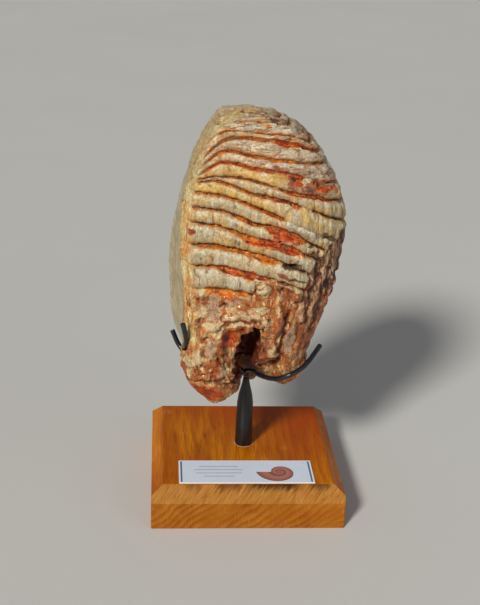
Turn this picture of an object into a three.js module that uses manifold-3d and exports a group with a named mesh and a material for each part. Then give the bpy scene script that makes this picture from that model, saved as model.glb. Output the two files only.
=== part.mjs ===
// A woolly mammoth's molar that stands on its end in a wire cradle, above a chamfered wooden plinth.
// Millimetres, +Z up. The origin is the centre of the plinth's underside, and -Y is the front.
// The tooth's flat worn face looks to -X, its plates are stacked along Z and its roots hang at the foot.
import * as THREE from 'three';
import { mergeVertices } from 'three/addons/utils/BufferGeometryUtils.js';
import Module from 'manifold-3d';

const wasm = await Module();
wasm.setup();

// Plinth
const PLINTH_SIDE = 120;
const PLINTH_HEIGHT = 27.5;
const PLINTH_CORNER = 1;
const CHAMFER_INSET = 7;
const END_CHAMFER_DROP = 10; // on the front and the back, across the end grain
const SIDE_CHAMFER_DROP = 6;
const CUTTER_WIDTH = 80; // of the block that cuts a chamfer, and its thickness
const CUTTER_THICKNESS = 30;

// Label that lies on the plinth
const LABEL_WIDTH = 84;
const LABEL_DEPTH = 27.5;
const LABEL_THICKNESS = 0.5;
const LABEL_CENTRE_X = -1;
const LABEL_CENTRE_Y = -38.8;

// Post, turned, with a cone at its tip: [radius, height above the floor]
const POST_OUTLINE = [[5.7, 27.5], [5.5, 37], [5.15, 57.5], [4.45, 62.8], [2.55, 70.7], [1.9, 74.6]];
const POST_SIDES = 32;
const POST_TIP = 74.6;

// Cradle of bent wire on the post's tip
const WIRE_RADIUS = 1.6;
const WIRE_SIDES = 10;
const HUB_RADIUS = 1.9;
const HUB_TOP = 78.4;
const FIT_GAP = 0.3;
const WIRES = {
  right: [
    [0, 0, 77.4], [1.8, -6, 82.2], [8.4, -18, 84.3], [15.4, -29, 87.8],
    [22.6, -35.6, 92.9], [30.2, -32, 95.5], [35.8, -26, 97.9], [40.1, -19.5, 100.3], [44.4, -13, 103.2],
  ],
  leftFront: [
    [0, 0, 77.4], [-6, -1.2, 82], [-20, -3.5, 86], [-34, -12, 93],
    [-40.2, -25, 105], [-40.2, -36, 117.5], [-42.3, -38.5, 127.6],
  ],
  leftBack: [
    [0, 0, 77.4], [-7, 2.2, 79.6], [-20, 3, 81], [-33, 9, 82], [-42.6, 18, 88.5], [-47.6, 21, 98.5],
  ],
};

// Tooth: how far its body reaches at each height, [height, reach]
const TOOTH_TOP = 251;
const BODY_BOTTOM = 95;
const LEFT_EDGE = [
  [251, -9], [250.2, -15.5], [248.6, -19.5], [246, -22], [241, -26], [234, -31], [225, -35], [217, -38.5],
  [208, -40.6], [200, -43.6], [187, -46.8], [176, -49.6], [162, -51.8], [147, -53], [130, -51.8], [117, -51.2],
  [105, -48.2], [95, -41],
];
const RIGHT_EDGE = [
  [251, -4], [249.8, -2], [247.6, 3], [244.2, 14.5], [238.9, 24], [233, 32], [226, 38], [217, 43.2], [207, 48.6],
  [197, 52.4], [185, 54.9], [171, 55], [160, 52.9], [145, 50], [131, 46.6], [117, 41], [107, 38.4], [95, 33],
];
const RIM_EDGE = [
  [251, -6], [249, -15], [246, -22.5], [240, -29], [234, -33], [225, -37], [215, -39.8], [204, -42],
  [192, -43.2], [180, -43.3], [167, -42.5], [155, -41.2], [143, -39.6], [130, -38.8], [118, -39.5], [95, -35],
];
const FRONT_EDGE = [
  [251, -1], [250, -9], [248.5, -15], [246, -20.5], [241, -28.5], [234, -35], [226, -39.5], [216, -42.7],
  [205, -44.5], [190, -45], [150, -45], [130, -44], [115, -41], [103, -35], [95, -27],
];
const BACK_EDGE = [
  [251, 1], [250, 8], [246, 18], [240, 26], [230, 33], [216, 38.5], [200, 41.5], [180, 43], [150, 43],
  [125, 41], [108, 36], [95, 28],
];
const RIM_DEPTH = 0.9; // shares of the front's and the back's reach at which the worn face ends
const BACK_CORNER_DEPTH = 0.62;
const FRONT_LEAN = -0.16; // the front turns this much to the worn face beside it
const SHOULDERS = [ // the way each looks out, and the shares of the width and the depth that it passes through
  { outward: [0.75, -1], width: 0.66, depth: 0.84 },
  { outward: [0.8, 1], width: 0.72, depth: 0.8 },
  { outward: [-1, 0.75], width: 0.88, depth: 0.86 },
];
const LEAST_REACH = 0.4;
const CORNER_SHARPNESS = 12;

// Grooves between the plates, from the crown down: the height of each at six stations across the tooth
const STATIONS = [54, 40, 18, -5, -22, -35];
const GROOVES = [
  [226, 233, 242.7, 245.7, 244, 236],
  [222, 229, 238.5, 241.1, 240.4, 230],
  [219, 226.5, 235, 238.2, 236.2, 223.5],
  [217, 222.5, 226.3, 229.4, 231, 221],
  [208, 212.7, 219, 223.2, 225.4, 218],
  [198, 203.5, 210, 216.5, 217.9, 215.6],
  [187, 194, 204, 209.3, 215, 214.2],
  [170, 181, 192.8, 202.4, 207.3, 208.2],
  [160, 173, 186, 192.4, 198.4, 199.6],
  [151, 165, 177.4, 183, 189.3, 190.8],
  [141, 154, 166.7, 173.4, 177.3, 177.2],
  [132, 144, 154.6, 160.6, 164.6, 164.6],
  [121, 133, 145.5, 148.3, 150, 150],
];
const GROOVE_DEPTH = 1.7;
const GROOVE_SHARE = 0.16; // of a plate's thickness, on each side of the groove's middle
const CROWN_GROOVE = 0.6; // the first groove is this much shallower
const WORN_GROOVE = 0.08; // and so are all of them on the worn face
const RIM_BLEND = 10; // the grooves fade in over this distance from the rim
const ROUGHNESS = 0.7;
const WORN_ROUGHNESS = 0.15;
const ROUGH_SIZE = 11;
const CROWN_STEPS = [0.25, 0.55];
const RING_STEPS = [-GROOVE_SHARE, 0, GROOVE_SHARE, 0.5];
const HEIGHT_HALVINGS = 26;
const ROOT_RINGS = 5;
const FACE_COLUMNS = 8;
const AROUND_COLUMNS = 38;

// Roots under the body: [height, centre x, centre y, half width, half depth] from inside the body down
const ROOTS = [
  [
    [132, -25, -22, 10, 18], [118, -26, -26, 14.5, 18.5], [104, -25.3, -26.5, 17.2, 18.5],
    [92, -25, -26, 17.3, 17.5], [83, -22.2, -25.5, 14, 14], [76, -20.6, -25, 10.2, 10.5], [71.4, -20.4, -25, 5.5, 6],
  ],
  [
    [130, 20, -15, 12, 24], [112, 21, -12, 15, 23], [98, 21, -10.5, 15.5, 21],
    [88, 21.8, -10.5, 12.8, 16], [81.8, 22.4, -11, 10, 10.5], [78, 22.4, -11, 5.6, 6],
  ],
  [[125, -14, 14, 16, 20], [105, -13, 17, 17, 18], [92, -13, 19, 16.5, 16], [80, -13, 20, 13, 13], [72, -13, 20, 6, 6]],
  [[115, 2, 16, 13, 16], [95, 2, 19, 13, 15], [82, 3, 19.5, 11.5, 13], [74, 3.5, 19, 9, 10], [66.5, 4, 18, 4, 4.5]],
  [[125, 17, 14, 16, 20], [105, 17, 18, 17, 17], [92, 18, 20, 15.5, 15], [82, 19, 21, 11, 11], [75, 19, 21, 5, 5]],
  [[96, -11, -17, 7, 8], [86, -10.5, -16, 6.5, 7], [78, -9.8, -15.5, 5.2, 6], [72.5, -9.2, -15, 2.6, 3]],
  [[104, 9.5, -10, 6.5, 14], [94, 9, -9, 6.5, 12], [86, 10, -7, 6, 9], [79.5, 11.5, -5, 3, 5]],
];
const ROOT_SWELL = 0.05; // uneven swelling, as a share of the root's width
const ROOT_SWELL_SIZE = 8;
const ROOT_RIDGES = 5;
const ROOT_RIDGE_HEIGHT = 0.03;
const ROOT_RIDGE_TWIST = 0.05;
const ROOT_CAP = 1.5;
const ROOT_COLUMNS = 16;
const ROOT_ROWS = 10;
// The hollow that the front roots have between them: an oval that leans a little
const HOLLOW = { centre: [-3, -32, 104.5], radii: [7.4, 25, 23], lean: 0.19 };

// The value at one place of a smooth curve through points [place, value], whose places fall.
function valueAt(points, place) {
  const last = points.length - 1;
  if (place >= points[0][0]) return points[0][1];
  if (place <= points[last][0]) return points[last][1];
  let i = 0;
  while (points[i + 1][0] > place) i += 1;
  const slope = (k) => {
    const before = points[Math.max(k - 1, 0)];
    const after = points[Math.min(k + 1, last)];
    return (after[1] - before[1]) / (after[0] - before[0]);
  };
  const [start, from] = points[i];
  const [end, to] = points[i + 1];
  const span = end - start;
  const t = (place - start) / span;
  return (
    from * (1 + 2 * t) * (1 - t) ** 2 +
    slope(i) * span * t * (1 - t) ** 2 +
    to * t * t * (3 - 2 * t) +
    slope(i + 1) * span * t * t * (t - 1)
  );
}

// A repeatable unevenness between -1 and 1, made of crossing waves.
function unevenness(x, y, z, size) {
  const [u, v, w] = [x / size, y / size, z / size];
  const a = Math.sin(2.1 * u + 1.7 * Math.sin(1.3 * v + 0.9 * w));
  const b = Math.sin(1.9 * v + 1.3 * Math.sin(1.7 * w - 0.8 * u));
  const c = Math.sin(2.3 * w + 1.5 * Math.sin(1.1 * u + 1.4 * v));
  return (a + b + c) / 3;
}

// The tooth's outline at one height: its centre, and the flat sides that bound it.
function sectionAt(height) {
  const left = valueAt(LEFT_EDGE, height);
  const right = valueAt(RIGHT_EDGE, height);
  const rim = Math.max(valueAt(RIM_EDGE, height), left);
  const front = valueAt(FRONT_EDGE, height);
  const back = valueAt(BACK_EDGE, height);
  const centre = [(left + right) / 2, (front + back) / 2];
  const rimCorner = [rim, front * RIM_DEPTH];
  const backCorner = [left, back * BACK_CORNER_DEPTH];
  const sides = [];
  const add = (nx, ny, x, y) => {
    const size = Math.hypot(nx, ny);
    const distance = (nx * (x - centre[0]) + ny * (y - centre[1])) / size;
    sides.push([nx / size, ny / size, Math.max(distance, LEAST_REACH)]);
  };
  add(rimCorner[1] - backCorner[1], backCorner[0] - rimCorner[0], ...rimCorner);
  add(FRONT_LEAN, -1, ...rimCorner);
  add(0, -1, 0, front);
  add(1, 0, right, 0);
  add(0, 1, 0, back);
  for (const { outward, width, depth } of SHOULDERS) {
    add(...outward, (outward[0] > 0 ? right : left) * width, (outward[1] > 0 ? back : front) * depth);
  }
  return { centre, sides, rimCorner, backCorner };
}

// How far the outline is from its centre in one direction.
function reachAt(section, angle) {
  const [c, s] = [Math.cos(angle), Math.sin(angle)];
  let sum = 0;
  for (const [nx, ny, distance] of section.sides) {
    sum += (Math.max(nx * c + ny * s, 0) / distance) ** CORNER_SHARPNESS;
  }
  return sum ** (-1 / CORNER_SHARPNESS);
}

// The height of the plate coordinate t (1 is the first groove) at one place across the front.
function plateHeight(t, x) {
  const at = (groove) => valueAt(GROOVES[groove - 1].map((height, i) => [STATIONS[i], height]), x);
  const last = GROOVES.length;
  if (t <= 1) return THREE.MathUtils.lerp(TOOTH_TOP - 0.3, at(1), t);
  if (t >= last) return THREE.MathUtils.lerp(at(last), BODY_BOTTOM, (t - last) / ROOT_RINGS);
  const above = Math.floor(t);
  return THREE.MathUtils.lerp(at(above), at(above + 1), t - above);
}

// Directions of the columns: close together on the corners of the worn face, even elsewhere.
function columnAngles(section) {
  const towards = ([x, y]) => Math.atan2(y - section.centre[1], x - section.centre[0]);
  const turn = 2 * Math.PI;
  const rim = (towards(section.rimCorner) + turn) % turn;
  const backLeft = (towards(section.backCorner) + turn) % turn;
  const angles = [];
  for (let i = 0; i < FACE_COLUMNS; i += 1) {
    angles.push(backLeft + ((rim - backLeft) * i) / FACE_COLUMNS);
  }
  for (let i = 0; i < AROUND_COLUMNS; i += 1) {
    angles.push(rim + ((backLeft + turn - rim) * i) / AROUND_COLUMNS);
  }
  return angles;
}

// One point of the body's surface: on plate coordinate t, in one column.
function bodyPoint(t, column) {
  let [low, high] = [BODY_BOTTOM - 4, TOOTH_TOP - 0.05];
  let point;
  for (let i = 0; i < HEIGHT_HALVINGS; i += 1) {
    const z = (low + high) / 2;
    const section = sectionAt(z);
    const angle = columnAngles(section)[column];
    const reach = reachAt(section, angle);
    point = { x: section.centre[0] + reach * Math.cos(angle), z, section, angle, reach };
    if (z > plateHeight(t, point.x)) high = z;
    else low = z;
  }
  const y = point.section.centre[1] + point.reach * Math.sin(point.angle);
  const onFace = column < FACE_COLUMNS;
  const fromRim = Math.hypot(point.x - point.section.rimCorner[0], y - point.section.rimCorner[1]);
  const relief = onFace ? WORN_GROOVE : THREE.MathUtils.smoothstep(fromRim, 0, RIM_BLEND);
  const grooved = t > 0.5 && t < GROOVES.length + 0.5;
  const groove = grooved ? Math.max(1 - Math.abs(t - Math.round(t)) / GROOVE_SHARE, 0) : 0;
  const depth = GROOVE_DEPTH * (t < 1.5 ? CROWN_GROOVE : 1);
  const rough = unevenness(point.x, y, point.z, ROUGH_SIZE) * (onFace ? WORN_ROUGHNESS : ROUGHNESS);
  const reach = point.reach - depth * groove * relief + rough * relief;
  const x = point.section.centre[0] + reach * Math.cos(point.angle);
  return [x, point.section.centre[1] + reach * Math.sin(point.angle), point.z];
}

// Rings of points joined to a closed skin, with a point at the top and one at the foot.
function skinGeometry(top, rings, foot) {
  const columns = rings[0].length;
  const vertices = [top, ...rings.flat(), foot];
  const last = vertices.length - 1;
  const lastRing = 1 + (rings.length - 1) * columns;
  const triangles = [];
  for (let column = 0; column < columns; column += 1) {
    const next = (column + 1) % columns;
    triangles.push([0, 1 + column, 1 + next]);
    for (let a = 1; a < lastRing; a += columns) {
      const b = a + columns;
      triangles.push([a + column, b + column, b + next], [a + column, b + next, a + next]);
    }
    triangles.push([last, lastRing + next, lastRing + column]);
  }
  const geometry = new THREE.BufferGeometry();
  geometry.setAttribute('position', new THREE.Float32BufferAttribute(vertices.flat(), 3));
  geometry.setIndex(triangles.flat());
  return geometry;
}

// The tooth's body: rings that follow the plates.
function bodyGeometry() {
  const steps = [...CROWN_STEPS];
  for (let groove = 1; groove <= GROOVES.length; groove += 1) {
    steps.push(...RING_STEPS.map((step) => groove + step));
  }
  for (let i = 1; i <= ROOT_RINGS; i += 1) steps.push(GROOVES.length + i);
  const columns = [...Array(FACE_COLUMNS + AROUND_COLUMNS).keys()];
  const rings = steps.map((t) => columns.map((column) => bodyPoint(t, column)));
  return skinGeometry([-2, 0, TOOTH_TOP], rings, [0, 0, BODY_BOTTOM - 2]);
}

// One root: oval rings from inside the body to a blunt tip, with shallow ridges that run down it.
function rootGeometry(outline) {
  const top = outline[0];
  const tip = outline[outline.length - 1];
  const rings = [];
  for (let row = 0; row <= ROOT_ROWS; row += 1) {
    const z = THREE.MathUtils.lerp(top[0], tip[0], row / ROOT_ROWS);
    const [cx, cy, width, depth] = [1, 2, 3, 4].map((i) => valueAt(outline.map((p) => [p[0], p[i]]), z));
    const ring = [];
    for (let column = 0; column < ROOT_COLUMNS; column += 1) {
      const angle = (2 * Math.PI * column) / ROOT_COLUMNS;
      const [x, y] = [cx + width * Math.cos(angle), cy + depth * Math.sin(angle)];
      const ridge = ROOT_RIDGE_HEIGHT * Math.sin(ROOT_RIDGES * angle + ROOT_RIDGE_TWIST * z);
      const swell = 1 + ROOT_SWELL * unevenness(x, y, z, ROOT_SWELL_SIZE) + ridge;
      ring.push([cx + (x - cx) * swell, cy + (y - cy) * swell, z]);
    }
    rings.push(ring);
  }
  return skinGeometry([top[1], top[2], top[0] + 1], rings, [tip[1], tip[2], tip[0] - ROOT_CAP]);
}

function hollowGeometry({ centre, radii, lean }) {
  return new THREE.SphereGeometry(1, 20, 12).scale(...radii).rotateY(lean).translate(...centre);
}

// A wire of one radius along a smooth path through the points.
function wireGeometry(points, radius) {
  const path = new THREE.CatmullRomCurve3(points.map((p) => new THREE.Vector3(...p)), false, 'centripetal');
  const circle = new THREE.Shape().absarc(0, 0, radius, 0, 2 * Math.PI);
  return new THREE.ExtrudeGeometry(circle, {
    steps: points.length * 2,
    curveSegments: WIRE_SIDES / 2,
    extrudePath: path,
    bevelEnabled: false,
  });
}

// The solid that a closed geometry bounds, and the way back.
function solidOf(geometry) {
  const bare = geometry.clone();
  bare.deleteAttribute('normal');
  bare.deleteAttribute('uv');
  const merged = mergeVertices(bare, 1e-3);
  return new wasm.Manifold(new wasm.Mesh({
    numProp: 3,
    vertProperties: merged.attributes.position.array,
    triVerts: new Uint32Array(merged.index.array),
  }));
}

function geometryOf(solid) {
  const mesh = solid.getMesh();
  const geometry = new THREE.BufferGeometry();
  geometry.setAttribute('position', new THREE.Float32BufferAttribute(mesh.vertProperties, mesh.numProp));
  geometry.setIndex([...mesh.triVerts]);
  geometry.computeVertexNormals();
  return geometry;
}

// A big block whose one face is the chamfer's plane, turned to one of the four sides.
function chamferCutter(drop, turn) {
  const outward = new THREE.Vector3(0, -drop, CHAMFER_INSET).normalize();
  const lean = new THREE.Quaternion().setFromUnitVectors(new THREE.Vector3(0, 0, 1), outward);
  const edge = new THREE.Vector3(0, -PLINTH_SIDE / 2, PLINTH_HEIGHT - drop);
  const block = new THREE.BoxGeometry(PLINTH_SIDE * 2, CUTTER_WIDTH, CUTTER_THICKNESS).applyQuaternion(lean);
  const centre = edge.addScaledVector(outward, CUTTER_THICKNESS / 2);
  return solidOf(block.translate(centre.x, centre.y, centre.z).rotateZ(turn));
}

function plinthGeometry() {
  const half = PLINTH_SIDE / 2;
  const round = PLINTH_CORNER;
  const square = new THREE.Shape();
  square.absarc(half - round, half - round, round, 0, Math.PI / 2);
  square.absarc(round - half, half - round, round, Math.PI / 2, Math.PI);
  square.absarc(round - half, round - half, round, Math.PI, 1.5 * Math.PI);
  square.absarc(half - round, round - half, round, 1.5 * Math.PI, 2 * Math.PI);
  const block = new THREE.ExtrudeGeometry(square, { depth: PLINTH_HEIGHT, curveSegments: 4, bevelEnabled: false });
  let solid = solidOf(block);
  solid = solid.subtract(chamferCutter(END_CHAMFER_DROP, 0));
  solid = solid.subtract(chamferCutter(END_CHAMFER_DROP, Math.PI));
  solid = solid.subtract(chamferCutter(SIDE_CHAMFER_DROP, Math.PI / 2));
  solid = solid.subtract(chamferCutter(SIDE_CHAMFER_DROP, -Math.PI / 2));
  return geometryOf(solid);
}

function labelGeometry() {
  return new THREE.BoxGeometry(LABEL_WIDTH, LABEL_DEPTH, LABEL_THICKNESS)
    .translate(LABEL_CENTRE_X, LABEL_CENTRE_Y, PLINTH_HEIGHT + LABEL_THICKNESS / 2);
}

function postGeometry() {
  const outline = [[0, PLINTH_HEIGHT], ...POST_OUTLINE, [0, POST_TIP]];
  return new THREE.LatheGeometry(outline.map(([r, z]) => new THREE.Vector2(r, z)), POST_SIDES).rotateX(Math.PI / 2);
}

// The three wires, welded to a short hub.
function cradleGeometry() {
  const hub = new THREE.CylinderGeometry(HUB_RADIUS, HUB_RADIUS, HUB_TOP - POST_TIP, 16).rotateX(Math.PI / 2)
    .translate(0, 0, (HUB_TOP + POST_TIP) / 2);
  let solid = solidOf(hub);
  for (const points of Object.values(WIRES)) solid = solid.add(solidOf(wireGeometry(points, WIRE_RADIUS)));
  return geometryOf(solid);
}

// The tooth in one piece, with room for the cradle where it bears on it.
function molarGeometry() {
  let solid = solidOf(bodyGeometry());
  for (const root of ROOTS) solid = solid.add(solidOf(rootGeometry(root)));
  solid = solid.subtract(solidOf(hollowGeometry(HOLLOW)));
  for (const points of Object.values(WIRES)) {
    solid = solid.subtract(solidOf(wireGeometry(points, WIRE_RADIUS + FIT_GAP)));
  }
  return geometryOf(solid);
}

const PARTS = [
  ['plinth', plinthGeometry(), 0xb06a26, 0.35, 0],
  ['label', labelGeometry(), 0xdfe4ea, 0.5, 0],
  ['post', postGeometry(), 0x15171a, 0.4, 0],
  ['cradle', cradleGeometry(), 0x101318, 0.3, 0],
  ['molar', molarGeometry(), 0xc9a67c, 0.7, 0],
];

const piece = new THREE.Group();
for (const [name, geometry, color, roughness, metalness] of PARTS) {
  const mesh = new THREE.Mesh(geometry, new THREE.MeshStandardMaterial({ color, roughness, metalness }));
  mesh.name = name;
  piece.add(mesh);
}

export default piece;
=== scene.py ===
"""A mammoth molar on its stand: the looks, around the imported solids.

Blender's unit is the metre. Sizes below are millimetres and pass through MM once.
The tooth's surface is made from its solid: remeshed, then carved with plates, roots and pits.
"""
import math

import bmesh
import bpy
import numpy as np
from mathutils import Matrix, Vector, noise


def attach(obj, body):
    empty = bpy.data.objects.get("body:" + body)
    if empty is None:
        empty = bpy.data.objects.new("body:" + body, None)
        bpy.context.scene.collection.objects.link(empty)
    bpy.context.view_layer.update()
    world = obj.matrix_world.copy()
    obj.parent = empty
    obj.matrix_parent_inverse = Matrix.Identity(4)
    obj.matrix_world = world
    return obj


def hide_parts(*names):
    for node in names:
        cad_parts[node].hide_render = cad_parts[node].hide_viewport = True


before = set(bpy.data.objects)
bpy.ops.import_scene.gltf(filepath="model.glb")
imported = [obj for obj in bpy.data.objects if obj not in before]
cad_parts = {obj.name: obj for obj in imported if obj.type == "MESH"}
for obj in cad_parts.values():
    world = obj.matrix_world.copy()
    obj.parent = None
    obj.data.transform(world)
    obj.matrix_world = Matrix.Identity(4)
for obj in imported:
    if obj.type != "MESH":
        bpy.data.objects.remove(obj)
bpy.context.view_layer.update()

MM = 0.001

# The photograph's camera
CAMERA_PLACE = (-57.9, -659.5, 386.6)
CAMERA_PITCH = 21.469
CAMERA_YAW = 4.513
CAMERA_ROLL = 2.265
CAMERA_LENS = 67.556

# Plinth
PLINTH_SIDE = 120.0
PLINTH_HEIGHT = 27.5
CHAMFER_INSET = 7.0
END_CHAMFER_DROP = 10.0
SIDE_CHAMFER_DROP = 6.0
CORNER_ROUND = 1.0
EDGE_ROUND = 0.4

# Post: [radius, height above the floor]
POST_OUTLINE = [[5.7, 27.5], [5.5, 37], [5.15, 57.5], [4.45, 62.8], [2.55, 70.7], [1.9, 74.6]]
POST_STEPS = 64

# Cradle
WIRE_RADIUS = 1.6
HUB_RADIUS = 1.9
HUB_FOOT = 74.6
HUB_TOP = 78.4
WIRES = {
    "right": [
        (0, 0, 77.4), (1.8, -6, 82.2), (8.4, -18, 84.3), (15.4, -29, 87.8),
        (22.6, -35.6, 92.9), (30.2, -32, 95.5), (35.8, -26, 97.9), (40.1, -19.5, 100.3), (44.4, -13, 103.2),
    ],
    "left_front": [
        (0, 0, 77.4), (-6, -1.2, 82), (-20, -3.5, 86), (-34, -12, 93),
        (-40.2, -25, 105), (-40.2, -36, 117.5), (-42.3, -38.5, 127.6),
    ],
    "left_back": [
        (0, 0, 77.4), (-7, 2.2, 79.6), (-20, 3, 81), (-33, 9, 82), (-42.6, 18, 88.5), (-47.6, 21, 98.5),
    ],
}

# Tooth: its reach, and the height of each groove at six stations across the front, from the crown down
TOOTH_TOP = 262.0
TOOTH_FOOT = 95.0
STATIONS = [54, 40, 18, -5, -22, -35]
GROOVES = [
    [232, 240, 250.5, 256.5, 253, 243],
    [226, 233, 245.6, 250, 247.1, 237],
    [222, 229, 238.5, 241.7, 240.8, 230],
    [219, 226.5, 235, 238.2, 236.2, 223.5],
    [217, 222.5, 226.3, 229.4, 231, 221],
    [208, 212.7, 219, 223.2, 225.4, 218],
    [198, 203.5, 210, 216.5, 217.9, 215.6],
    [187, 194, 204, 209.3, 215, 214.2],
    [170, 181, 192.8, 202.4, 207.3, 208.2],
    [160, 173, 186, 192.4, 198.4, 199.6],
    [151, 165, 177.4, 183, 189.3, 190.8],
    [141, 154, 166.7, 173.4, 177.3, 177.2],
    [132, 144, 154.6, 160.6, 164.6, 164.6],
    [121, 133, 145.5, 148.3, 150, 150],
]
# The crown: from where its layers rise to the back, how steeply, and how far its top is worn down
CROWN_FRONT = -36.0
CROWN_TILT = 0.3
CROWN_WEAR = 1.6
RIM = [[251, -6], [240, -29], [225, -37], [204, -42], [180, -43.3], [150, -40.4], [118, -39.5], [95, -35]]
HOLLOW_CENTRE = (-3, -32, 104.5)
HOLLOW_RADII = (7.4, 25, 23)
HOLLOW_LEAN = 0.19
HOLLOW_RAGGED = 3.4
# The recess under the hollow, which is only painted in shade
RECESS_CENTRE = (-1, 0, 86)
RECESS_RADII = (14, 26, 20)
VOXEL = 0.93
# Broken blocks, in shares of a block's size, and what sets how they lean
CREASE_WIDTH = 0.11
BLOCK_DOME = 0.45
LEAN_SEED = 2


def smooth_step(low, high, value):
    """0 below low, 1 above high, and a smooth rise between."""
    t = np.clip((value - low) / (high - low), 0, 1)
    return t * t * (3 - 2 * t)


def curve_through(places, values, at):
    """A smooth curve through points, read at an array of places."""
    order = np.argsort(places)
    x = np.array(places, float)[order]
    y = np.array(values, float)[order]
    index = np.arange(len(x))
    before = np.maximum(index - 1, 0)
    after = np.minimum(index + 1, len(x) - 1)
    slope = (y[after] - y[before]) / (x[after] - x[before])
    at = np.clip(at, x[0], x[-1])
    i = np.clip(np.searchsorted(x, at) - 1, 0, len(x) - 2)
    span = x[i + 1] - x[i]
    t = (at - x[i]) / span
    rise = y[i] * (1 + 2 * t) * (1 - t) ** 2 + y[i + 1] * t * t * (3 - 2 * t)
    return rise + span * t * (1 - t) * (slope[i] * (1 - t) - slope[i + 1] * t)


def noise_at(points, size, seed=0.0, octaves=1):
    """Smooth noise from about -1 to 1 at every point. Size is one length or three, in mm."""
    places = points / np.array(size, float) + seed
    if octaves == 1:
        return np.array([noise.noise(Vector(p)) for p in places])
    return np.array([noise.fractal(Vector(p), 1.0, 2.0, octaves) for p in places])


def blocks_at(points, size, seed=0.0):
    """Broken blocks: how near a crease each point is, its rise and lean on its block, the block's tone."""
    places = points / np.array(size, float) + seed
    found = np.empty((len(places), 4))
    for i, place in enumerate(places):
        place = Vector(place)
        gaps, centres = noise.voronoi(place)
        lean = (place - centres[0]).dot(noise.noise_vector(centres[0] * 3.7))
        found[i] = gaps[1] - gaps[0], BLOCK_DOME - gaps[0], lean, noise.noise(centres[0] * 9.1)
    crease = np.exp(-(found[:, 0] / CREASE_WIDTH) ** 2)
    return crease, found[:, 1], found[:, 2], np.clip(found[:, 3] * 2.5, -1, 1)


def linear(colour):
    """A colour from its screen values, 0 to 255, to the linear values that shaders take."""
    parts = [c / 255 for c in colour]
    parts = [p / 12.92 if p <= 0.04045 else ((p + 0.055) / 1.055) ** 2.4 for p in parts]
    return (*parts, 1.0)


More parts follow.
